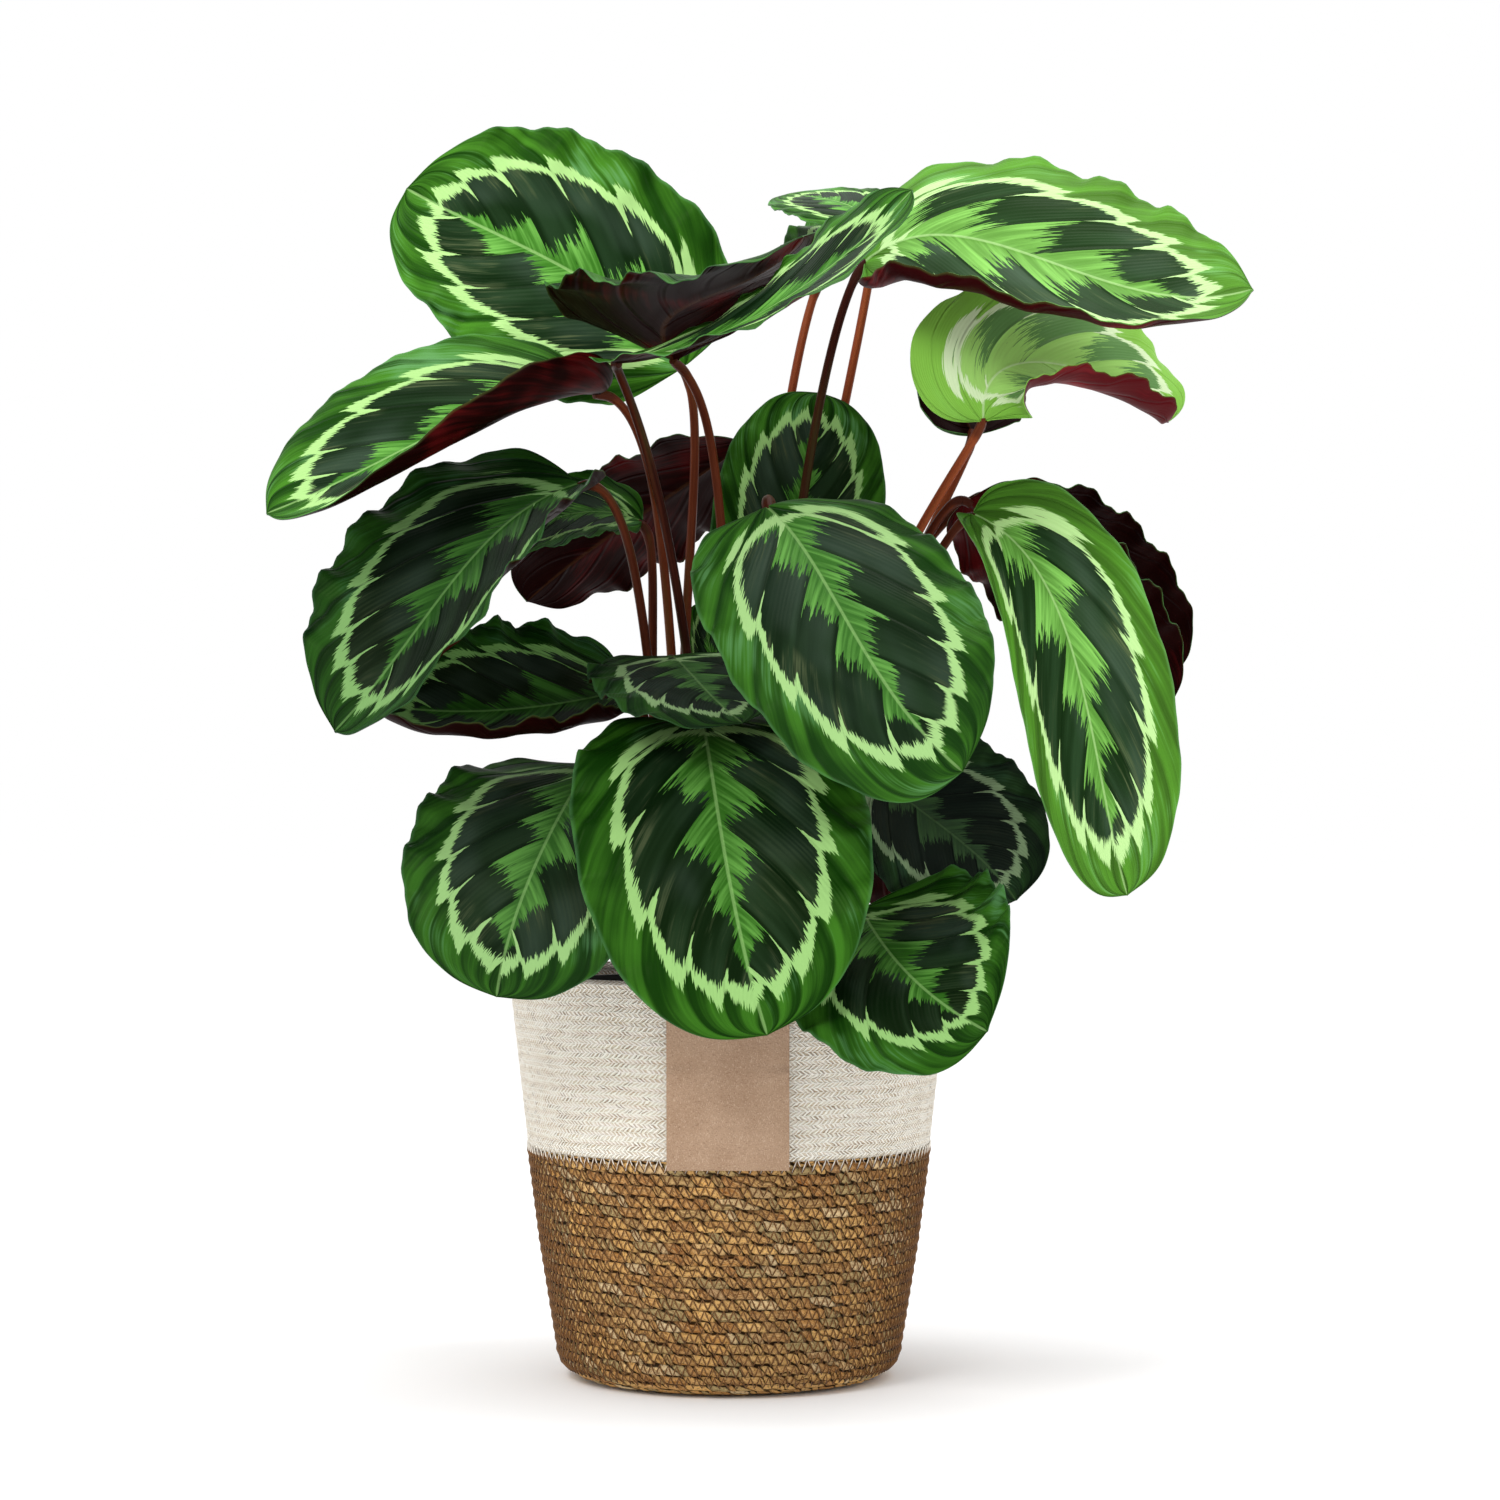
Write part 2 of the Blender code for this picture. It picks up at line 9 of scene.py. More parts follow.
import bpy
import numpy as np
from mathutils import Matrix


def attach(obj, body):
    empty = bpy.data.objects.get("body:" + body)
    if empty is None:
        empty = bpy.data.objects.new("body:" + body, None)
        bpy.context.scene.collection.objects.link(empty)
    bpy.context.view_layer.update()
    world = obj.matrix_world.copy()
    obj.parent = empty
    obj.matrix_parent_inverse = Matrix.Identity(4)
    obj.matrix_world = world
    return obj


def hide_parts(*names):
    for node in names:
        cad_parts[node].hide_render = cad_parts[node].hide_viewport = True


MM = 0.001
TURN = 2 * math.pi
BODY = "root"
NO_QUADS = np.zeros((0, 4), dtype=int)
NO_TRIANGLES = np.zeros((0, 3), dtype=int)

# Camera, and the point that the lights look at, with places in metres
CAMERA_PLACE = (0.0125, -2.44, 0.371)
CAMERA_LENS = 98.4
CAMERA_SENSOR = 36.0
LIGHT_AIM = (0.0, 0.0, 0.4)

# Basket, pot and soil, as the solids have them
BASE_RADIUS = 83.0
CORNER_RADIUS = 19.0
WALL_PROFILE = ((19.0, 102.0), (37.0, 105.0), (80.0, 112.0), (137.0, 119.4), (240.0, 131.0))
FLOOR_THICKNESS = 7.0
SEAGRASS_WALL = 7.0
SEAGRASS_ROWS = 18
COTTON_WALL = 8.0
COTTON_ROWS = 13
JOIN_HEIGHT = 137.0
RIM_HEIGHT = 240.0
SEAGRASS_PITCH = (JOIN_HEIGHT - CORNER_RADIUS) / SEAGRASS_ROWS
TAG_WIDTH = 69.5
TAG_BOTTOM = 133.0
TAG_INSIDE_DEPTH = 18.0
TAG_INSIDE_Y = -113.6
POT_BOTTOM_RADIUS = 80.0
POT_TOP_RADIUS = 108.0
POT_RIM_RADIUS = 111.5
POT_RIM_DROP = 14.0
POT_TOP = 233.0
POT_FLOOR = FLOOR_THICKNESS + 0.3
POT_WALL = 1.4
SOIL_EDGE = 222.0
SOIL_CROWN = 233.0
SOIL_CROWN_RADIUS = 58.0

# Leaves, as the solids have them
STEM_ROOT_RADIUS = 3.4
STEM_TOP_RADIUS = 2.6
STEM_HOLE_DEPTH = 14.0
STEM_STRAIGHT = 4.0
STEM_LEAN = 0.005
STEM_TUCK = 2.2
STEM_OVERLAP = 3.0
OUTLINE_SKEW = 0.92
OUTLINE_POWER = 2.3
LOBE = 0.14
LOBE_START = 40
MARGIN_WAVES = 5
WAVE_HEIGHT = 0.05

# The grids of a usual blade and of one whose half width is under SMALL_BLADE, a stem's rings and
# its joint, and the steps from one leaf's random start to the next
BLADE_GRID = (110, 24)
SMALL_GRID = (64, 16)
SMALL_BLADE = 40
STEM_STEPS = 56
STEM_SIDES = 14
JOINT_SWELL = 0.45
SHAPE_SEED = 0.37
TONE_SEED = 1.37

# The fine form of a blade, as shares of its half width or as millimetres
BLADE_FULLNESS = 0.985
BLADE_MM = 0.7
MARGIN_MM = 0.45
RIB_MM = 1.9
RIB_WIDTH = 2.4
PANELS = 5.0
VEIN_SLANT = 0.55
VEIN_BEND = 1.1
PANEL_SWELL = 0.012
RIPPLES = 14
RIPPLE_HEIGHT = 0.02
SCALLOP = 0.012
TIP_POINT = 1.6
TIP_SHARPNESS = 0.009

# Seagrass: strands around the basket, how many of them one slants over and how much of its arc
# it shows, how their spacing wanders around a row and from row to row, how deep the grooves are,
# how unevenly strands stand, the number of the wall's first row and the hole in the floor's middle
STRANDS = 70
STRAND_SLANT = 1.1
STRAND_END = 0.97
WARP_COARSE = 17
COARSE_SHIFT = 0.36
COARSE_PHASE = 2.4
WARP_FINE = 41
FINE_SHIFT = 0.20
FINE_PHASE = 5.1
GOLDEN = 0.618
ROW_GROOVE = 1.1
STRAND_GROOVE = 1.2
STRAND_STEP = 0.8
ROWS_BELOW = 40
SEAGRASS_HOLE = 3.0

# Cotton: dashes around a row, lines of dashes in it, and how far its round top is under the rim
STITCHES = 250
DASH_LINES = 3
COTTON_TOP = 3.4

# Threads: strokes around the basket, how far each thread is turned from the one below, and how
# far the cream one reaches below and above the join
THREAD_STROKES = 122
THREAD_SHIFT = 0.61
CREAM_BELOW = 6.2
CREAM_ABOVE = 1.8

# The card's thickness, the radius of its folds and how far its sides stand off, and loose crumbs
CARD_MM = 0.6
TAG_BEND = 2.5
TAG_BOW = 1.6
CRUMBS = 700

# One leaf: the same values as its solids, then how far its left and right margins curl up more,
# at the stem and at the tip, how light its upper side is, how red its stem is, how much its
# margin waves and how much painted grey sheen covers its upper side. The defaults are for the
# values from fold on
Leaf = namedtuple("Leaf", "name root half_width spine faces left right fold rise reach "
                  "hem_left hem_right light red frill dull",
                  defaults=(8, 120, 40, (0, 0), (0, 0), 0.5, 0.3, 1.0, 0.0))


LEAVES = (
    Leaf("top_left", (-21, 2), 83,
         ((-28, 34, 602), (-62, 31, 637), (-124, 30, 674), (-195, 36, 710)),
         ((0.1, -0.95, 0.3), (0.1, -0.95, 0.3)), (0, 20), (5, 5), rise=200,
         light=0.95, red=0.35, frill=1.3),
    Leaf("top_curled", (1, -4), 80,
         ((-32, -5, 603), (-36, -45, 623), (0, -92, 636), (42, -126, 661)),
         ((0.05, 0.1, 1), (-0.1, -0.15, 1)), (40, 10), (33, -20), rise=340, frill=1.1),
    Leaf("top_middle", (-9, -5), 54,
         ((-64, -118, 592), (-12, -162, 599), (42, -192, 625), (101, -207, 676)),
         ((-0.15, -0.25, 0.97), (-0.45, -0.6, 0.65)), (0, -10), (20, 25), rise=330, reach=15,
         light=0.7, red=0.05, frill=0.9),
    Leaf("top_back", (16, 36), 45,
         ((88, 52, 688), (78, 72, 702), (58, 97, 712), (37, 118, 718)),
         ((0, -0.35, 0.95), (0, -0.35, 0.95)), (0, 0), (0, 0), fold=0, rise=220, reach=30,
         light=0.9, red=0.9, frill=0.3),
    Leaf("top_right", (14, 1), 77,
         ((81, 5, 662), (118, -25, 674), (224, -70, 640), (301, -90, 635)),
         ((-0.05, -0.9, 0.4), (0, -0.7, 0.7)), (-35, 8), (15, 35), rise=200,
         hem_right=(170, 10), light=1.2, red=0.05),
    Leaf("left_high", (-20, 13), 75,
         ((-77, -25, 582), (-115, -55, 576), (-176, -90, 548), (-262, -112, 505)),
         ((0, -0.6, 0.8), (-0.3, -0.6, 0.7)), (90, 20), (15, 15), rise=200, reach=60,
         hem_left=(145, 10), hem_right=(0, -40), light=0.8, red=0.45, frill=0.3),
    Leaf("left_mid", (-27, -16), 80,
         ((-86, -70, 525), (-129, -105, 497), (-171, -140, 443), (-219, -155, 381)),
         ((-0.3, -0.7, 0.65), (-0.45, -0.75, 0.5)), (60, 40), (10, 10), rise=160, reach=50,
         light=0.15, red=0.25, dull=0.1),
    Leaf("left_low", (-41, -9), 62,
         ((-56, -35, 407), (-97, -60, 398), (-147, -85, 393), (-202, -100, 397)),
         ((0, -0.8, 0.6), (0, -0.8, 0.6)), (70, 60), (10, 10), rise=90, reach=20,
         hem_left=(45, 45), light=0.08, frill=1.4),
    Leaf("left_back", (-12, 26), 56,
         ((8, 70, 559), (-35, 100, 531), (-82, 128, 501), (-129, 150, 465)),
         ((0.1, 0.5, 0.86), (0, 0.6, 0.8)), (-30, -20), (10, 10), rise=180, frill=1.8),
    Leaf("left_small", (-31, -3), 34,
         ((-52, 0, 507), (-80, -10, 512), (-112, -25, 504), (-146, -35, 488)),
         ((0, -0.6, 0.8), (0, -0.6, 0.8)), (10, 10), (30, 30), rise=180, reach=20, light=0.4,
         red=0.2),
    Leaf("centre_back", (13, 20), 53,
         ((31, 17, 440), (38, 22, 490), (46, 27, 540), (55, 38, 587)),
         ((0, -1, 0.1), (0, -1, 0.2)), (10, 10), (10, 10), rise=90, reach=50, light=0.45),
    Leaf("centre_front", (17, -9), 77,
         ((22, -110, 509), (54, -160, 464), (89, -190, 404), (129, -195, 359)),
         ((-0.1, -0.75, 0.6), (0.2, -0.95, 0.1)), (-40, 0), (5, 5), rise=330, reach=14,
         light=0.6, red=0.2, dull=0.15),
    Leaf("centre_shelf", (-12, -22), 64,
         ((-33, -38, 426), (-21, -75, 414), (-8, -110, 400), (8, -135, 386)),
         ((0, -0.3, 0.95), (0, -0.4, 0.9)), (-5, -5), (0, 0), rise=100, reach=30, light=0.4,
         dull=0.4),
    Leaf("front_low", (-2, -42), 85,
         ((-15, -75, 388), (-5, -150, 333), (6, -180, 275), (22, -185, 214)),
         ((0, -0.55, 0.83), (0, -1, -0.05)), (5, 5), (5, 5), rise=110, reach=20),
    Leaf("front_left_low", (-28, -32), 78,
         ((-79, -70, 363), (-99, -125, 326), (-118, -150, 279), (-129, -150, 233)),
         ((-0.25, -0.85, 0.45), (-0.25, -0.95, 0.1)), (5, 5), (5, 5), rise=70, reach=20,
         light=0.4, dull=0.15),
    Leaf("front_right_low", (24, -35), 74,
         ((76, -95, 280), (95, -145, 252), (117, -172, 232), (143, -185, 216)),
         ((0.1, -0.8, 0.6), (0.1, -0.9, 0.4)), (45, 30), (0, 0), rise=50, reach=20, light=0.4),
    Leaf("right_low", (35, -22), 57,
         ((88, -32, 356), (110, -52, 337), (138, -66, 315), (166, -72, 284)),
         ((0.1, -0.8, 0.6), (0.1, -0.9, 0.4)), (40, 30), (5, 5), rise=90, reach=20, light=0.2,
         dull=0.6),
    Leaf("right_droop", (41, -8), 52,
         ((142, -60, 508), (182, -110, 462), (204, -140, 383), (225, -130, 289)),
         ((-0.1, -0.9, 0.4), (0.1, -0.95, 0.1)), (60, 0), (100, 30), rise=170, reach=20,
         light=1.12, red=0.2),
    Leaf("right_back_near", (41, 8), 52,
         ((142, -14, 519), (185, 8, 478), (230, 30, 433), (268, 38, 400)),
         ((0.4, 0.7, 0.5), (0.4, 0.7, 0.5)), (10, 10), (10, 10), rise=170, reach=30,
         red=0.2, frill=1.8),
    Leaf("right_back_far", (27, 24), 45,
         ((160, 50, 526), (202, 86, 503), (244, 108, 464), (279, 112, 420)),
         ((0.3, 0.6, 0.7), (0.4, 0.7, 0.5)), (10, 10), (10, 10), rise=190, reach=40,
         red=0.15, frill=1.8),
    Leaf("right_high", (27, -5), 66,
         ((150, -26, 565), (158, -30, 592), (200, -22, 597), (261, -6, 566)),
         ((0.1, -0.85, 0.5), (0, -0.75, 0.65)), (20, -40), (70, 110), rise=220, reach=15, light=1.8,
         red=1.0, frill=1.2),
    Leaf("right_high_back", (29, 11), 42,
         ((146, 20, 560), (139, 46, 584), (131, 58, 610), (121, 62, 636)),
         ((0, 0.95, -0.1), (0, 0.95, 0.2)), (5, 5), (-60, -180), rise=170, reach=30, light=0.9,
         red=0.8),
    Leaf("inner", (-4, 12), 18,
         ((-5, 16, 380), (-8, 22, 407), (-12, 30, 434), (-17, 42, 460)),
         ((0, -0.9, 0.4), (0, -0.9, 0.4)), (50, 50), (50, 50), rise=60, reach=40),
    Leaf("back_low", (0, 44), 66,
         ((14, 90, 402), (10, 140, 353), (2, 165, 289), (-5, 165, 238)),
         ((0, 0.8, 0.6), (0, 1, 0)), (5, 5), (5, 5), rise=100, reach=25),
    Leaf("back_right_low", (34, 36), 55,
         ((74, 75, 347), (102, 115, 318), (128, 142, 280), (142, 142, 240)),
         ((0.4, 0.8, 0.5), (0.5, 0.8, 0)), (5, 5), (5, 5), rise=80, reach=25, light=0.4),
    Leaf("back_left_low", (-28, 34), 56,
         ((-80, 70, 341), (-116, 110, 321), (-146, 135, 289), (-164, 135, 251)),
         ((-0.4, 0.8, 0.5), (-0.5, 0.8, 0)), (5, 5), (5, 5), rise=80, reach=25, light=0.45),
    Leaf("back_high", (6, 28), 48,
         ((56, 70, 660), (80, 110, 692), (106, 155, 706), (132, 195, 696)),
         ((0, -0.1, 1), (0, 0.3, 0.95)), (10, 10), (10, 10), rise=220, reach=40, light=0.7,
         red=0.7),
)


def operator(operation, swapped=False):
    """An operator or a method that adds one Math node. swapped puts the other value first."""
    def apply(value, *others):
        values = (value, *others)
        return value.finish.math(operation, *(values[::-1] if swapped else values))
    return apply


class Value:
    """A socket that can stand in an expression. Each operator and each method adds Math nodes."""

    __add__ = operator("ADD")
    __radd__ = operator("ADD", swapped=True)
    __sub__ = operator("SUBTRACT")
    __rsub__ = operator("SUBTRACT", swapped=True)
    __mul__ = operator("MULTIPLY")
    __rmul__ = operator("MULTIPLY", swapped=True)
    __truediv__ = operator("DIVIDE")
    __rtruediv__ = operator("DIVIDE", swapped=True)
    __mod__ = operator("MODULO")
    __pow__ = operator("POWER")
    __abs__ = operator("ABSOLUTE")
    sine = operator("SINE")
    arcsine = operator("ARCSINE")
    root = operator("SQRT")
    whole = operator("FLOOR")
    fraction = operator("FRACT")
    at_least = operator("MAXIMUM")
    above = operator("GREATER_THAN")

    def __init__(self, finish, socket):
        self.finish = finish
        self.socket = socket

    def edge(self):
        """0 half-way between two whole numbers and 1 at each of them."""
        return 2 * abs(self.fraction() - 0.5)


class Finish:
    """A material: a Principled shader with plain constants, and the nodes for what varies."""

    def __init__(self, name, roughness=0.5, specular=0.5, tint=(1, 1, 1), sheen=0.0):
        self.material = bpy.data.materials.new(name)
        self.material.use_nodes = True
        self.tree = self.material.node_tree
        self.shader = self.tree.nodes["Principled BSDF"]
        for socket, value in (("Roughness", roughness), ("Specular IOR Level", specular),
                              ("Specular Tint", tint), ("Sheen Weight", sheen)):
            self.put(self.shader.inputs[socket], value)

    def put(self, socket, value):
        """Links a Value to a socket, or sets a number or a colour on it. Three values in a tuple
        are joined into a vector first."""
        if socket.type == "VECTOR" and isinstance(value, tuple):
            value = self.node("CombineXYZ", dict(enumerate(value)))
        if isinstance(value, Value):
            self.tree.links.new(value.socket, socket)
        elif socket.type == "RGBA":
            socket.default_value = (*value, 1.0)
        else:
            socket.default_value = value

    def node(self, kind, sockets=None, output=0, **settings):
        """Adds a node, with its settings first and then its sockets, and gives one output."""
        made = self.tree.nodes.new("ShaderNode" + kind)
        for name, setting in settings.items():
            setattr(made, name, setting)
        for key, value in (sockets or {}).items():
            self.put(made.inputs[key], value)
        return Value(self, made.outputs[output])

    def math(self, operation, *values):
        """One Math node."""
        return self.node("Math", dict(enumerate(values)), operation=operation)

    def smooth(self, value, low, high):
        """0 below low and 1 above high, with a smooth step between them."""
        return self.node("MapRange", {"Value": value, "From Min": low, "From Max": high},
                         interpolation_type="SMOOTHSTEP")

    def fade(self, value, low, high):
        """1 below low and 0 above high, with a smooth step between them."""
        return 1 - self.smooth(value, low, high)

    def clip(self, value):
        """A value held between 0 and 1."""
        return self.node("Clamp", {"Value": value})

    def mix(self, share, first, second):
        """The first colour where share is 0 and the second where it is 1."""
        return self.node("Mix", {0: share, 6: first, 7: second}, 2, data_type="RGBA")

    def parts(self, vector):
        """The three values of a vector."""
        first = self.node("SeparateXYZ", {0: vector})
        return [Value(self, out) for out in first.socket.node.outputs]

    def noise(self, vector, scale=1.0, detail=2.0):
        """Smooth noise from 0 to 1, mostly near its middle."""
        return self.node("TexNoise", {"Vector": vector, "Scale": scale, "Detail": detail})

    def chance(self, vector):
        """An even random number for each different vector."""
        return self.node("TexWhiteNoise", {"Vector": vector}, noise_dimensions="3D")

    def place(self):
        """The point on the piece, in metres."""
        return self.node("TexCoord", output=3)

    def pattern(self):
        """The two map values of the piece."""
        return self.parts(self.node("UVMap", uv_map="pattern"))[:2]

    def tone(self, name):
        """A number that the whole piece carries as an attribute."""
        return self.node("Attribute", output=2, attribute_name=name)

    def colour(self, value):
        """Sets the base colour."""
        self.put(self.shader.inputs["Base Color"], value)

    def roughness(self, value):
        """Sets a roughness that varies."""
        self.put(self.shader.inputs["Roughness"], value)

    def bump(self, height, depth):
        """Tilts the surface by a height from 0 to 1 that stands for depth in metres."""
        self.put(self.shader.inputs["Normal"],
                 self.node("Bump", {"Height": height, "Distance": depth}))


def unit(vectors):
    """Vectors scaled to a length of one."""
    vectors = np.asarray(vectors, dtype=float)
    return vectors / np.maximum(np.linalg.norm(vectors, axis=-1, keepdims=True), 1e-9)


def square_to(vectors, along):
    """What is left of vectors without their part along a direction, at a length of one."""
    return unit(vectors - (vectors * along).sum(axis=1, keepdims=True) * along)


def spread(*values):
    """Values side by side on a new last axis, each one spread over the grid of them all."""
    return np.stack(np.broadcast_arrays(*values), axis=-1)


def around(count):
    """Angles that divide a full turn evenly."""
    return np.arange(count) * TURN / count


def turned(radius, height, angle):
    """Points turned about the Z axis: radius cos, radius sin and height."""
    return spread(radius * np.cos(angle), radius * np.sin(angle), height)


def lengths(points):
    """The length along a line, from 0 at its first point to all of it at its last."""
    steps = np.linalg.norm(np.diff(points, axis=0), axis=1)
    return np.concatenate([[0], np.cumsum(steps)])


def rings(path, first, second, radius, sides):
    """A ring around each point of a path: centre + radius (cos a first + sin a second)."""
    angle = around(sides)[None, :, None]
    return path[:, None, :] + np.reshape(radius, (-1, 1, 1)) * (
        np.cos(angle) * first[:, None, :] + np.sin(angle) * second[:, None, :])


def groove(row, power):
    """1 where two rows meet and 0 on the middle of each one: 1 - |sin|^power."""
    return 1 - np.abs(np.sin(math.pi * row)) ** power


def stand(name, data):
    """A new object in the scene, at the origin."""
    thing = bpy.data.objects.new(name, data)
    bpy.context.scene.collection.objects.link(thing)
    return thing


def make_piece(name, points, quads, triangles, places, finishes, finish_of=None, sharp=50):
    """A mesh object. points are in millimetres, quads and triangles are corner numbers, and
    places has the two map values of each corner, face by face. The faces are turned to point
    outwards: the sum of the volumes between each face and the origin is positive then."""
    corners = points[np.concatenate([quads[:, :3], quads[:, [0, 2, 3]], triangles])]
    volume = np.einsum("ij,ij->", corners[:, 0], np.cross(corners[:, 1], corners[:, 2]))
    faces = quads.tolist() + triangles.tolist()
    if volume < 0:
        faces = [face[::-1] for face in faces]
        places = [place[::-1] for place in places]
    mesh = bpy.data.meshes.new(name)
    mesh.from_pydata((points * MM).tolist(), [], faces)
    layer = mesh.uv_layers.new(name="pattern")
    layer.uv.foreach_set("vector", np.concatenate([np.ravel(p) for p in places]).astype("f4"))
    for finish in finishes:
        mesh.materials.append(finish.material)
    if finish_of is not None:
        mesh.polygons.foreach_set("material_index", finish_of.astype("i4"))
    mesh.shade_smooth()
    if sharp:
        mesh.set_sharp_from_angle(angle=math.radians(sharp))
    piece = stand(name, mesh)
    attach(piece, BODY)
    return piece


def grid_cells(rows, columns, closed):
    """The cells of a grid of points, and the same cells on its map, which has one column more
    where the last column joins the first."""
    i, j = np.indices((rows - 1, columns if closed else columns - 1)).reshape(2, -1)
    k = (j + 1) % columns
    wide = columns + 1 if closed else columns
    cells = spread(i * columns + j, i * columns + k, (i + 1) * columns + k, (i + 1) * columns + j)
    on_map = spread(i * wide + j, i * wide + j + 1, (i + 1) * wide + j + 1, (i + 1) * wide + j)
    return cells, on_map


def turned_piece(name, points, pattern, finish, ring=False, sharp=50):
    """A piece from a grid whose columns run around an axis. A fan of triangles closes its first
    row and its last one, unless ring joins the last row to the first."""
    rows, columns = points.shape[:2]
    cells, on_map = grid_cells(rows + 1 if ring else rows, columns, True)
    flat = points.reshape(-1, 3)
    spots = list(pattern.reshape(-1, 2)[on_map])
    if ring:
        return make_piece(name, flat, cells % len(flat), NO_TRIANGLES, spots, [finish],
                          sharp=sharp)
    j = np.arange(columns)
    k = (j + 1) % columns
    last = len(flat) - columns
    triangles = np.concatenate([spread(len(flat), k, j), spread(len(flat) + 1, last + j, last + k)])
    flat = np.concatenate([flat, [points[0].mean(axis=0), points[-1].mean(axis=0)]])
    for line, near, far in ((pattern[0], j + 1, j), (pattern[-1], j, j + 1)):
        middle = (line[j] + line[j + 1]) / 2
        spots += list(np.stack([middle, line[near], line[far]], axis=1))
    return make_piece(name, flat, cells, triangles, spots, [finish], sharp=sharp)


def shell_piece(name, top, bottom, pattern, finishes, sharp=50):
    """A thin closed shell between two grids, joined all round by one row of faces. The first
    finish is on the top and the rim, and the last one on the bottom."""
    rows, columns = top.shape[:2]
    cells, _ = grid_cells(rows, columns, False)
    below = rows * columns
    first = np.arange(rows) * columns
    edge = np.concatenate([first, first[-1] + np.arange(1, columns),
                           first[-2::-1] + columns - 1, np.arange(columns - 2, 0, -1)])
    after = np.roll(edge, -1)
    rim = spread(after, edge, edge + below, after + below)
    quads = np.concatenate([cells, cells[:, ::-1] + below, rim])
    points = np.concatenate([top.reshape(-1, 3), bottom.reshape(-1, 3)])
    flat_map = np.tile(pattern.reshape(-1, 2), (2, 1))
    under = len(finishes) - 1
    finish_of = np.repeat([0, under, 0], [len(cells), len(cells), len(rim)])
    return make_piece(name, points, quads, NO_TRIANGLES, list(flat_map[quads]), finishes,
                      finish_of, sharp)


def wall_radius(height):
    """The basket's outer radius at a height: a quarter circle at the foot, the wall above it."""
    heights, radii = zip(*WALL_PROFILE)
    below = CORNER_RADIUS - np.minimum(height, CORNER_RADIUS)
    foot = CORNER_RADIUS - np.sqrt(CORNER_RADIUS ** 2 - below ** 2)
    return np.interp(height, heights, radii) - foot


def narrowing(u):
    """How far a leaf's outline has drawn in: |2 u^skew - 1|^power, 1 at both of its ends."""
    return abs(2 * u ** OUTLINE_SKEW - 1) ** OUTLINE_POWER


def side_vein(u, t):
    """What stays the same along one side vein: u - slant t^bend, with t from the midrib out."""
    return u - VEIN_SLANT * t ** VEIN_BEND


def strand_count(u, row, height, sine, arcsine):
    """Counts the strands around a row, the same in the shape and in the finish: u, a slant by
    the arcsine of the height in the row (-1 to 1), two slow waves, and each row's own start."""
    angle = u * (TURN / STRANDS)
    warp = (COARSE_SHIFT * sine(angle * WARP_COARSE + row * COARSE_PHASE)
            + FINE_SHIFT * sine(angle * WARP_FINE + row * FINE_PHASE))
    twist = arcsine(height * STRAND_END) * (STRAND_SLANT / math.pi)
    return u + twist + warp + (row * GOLDEN) % 1


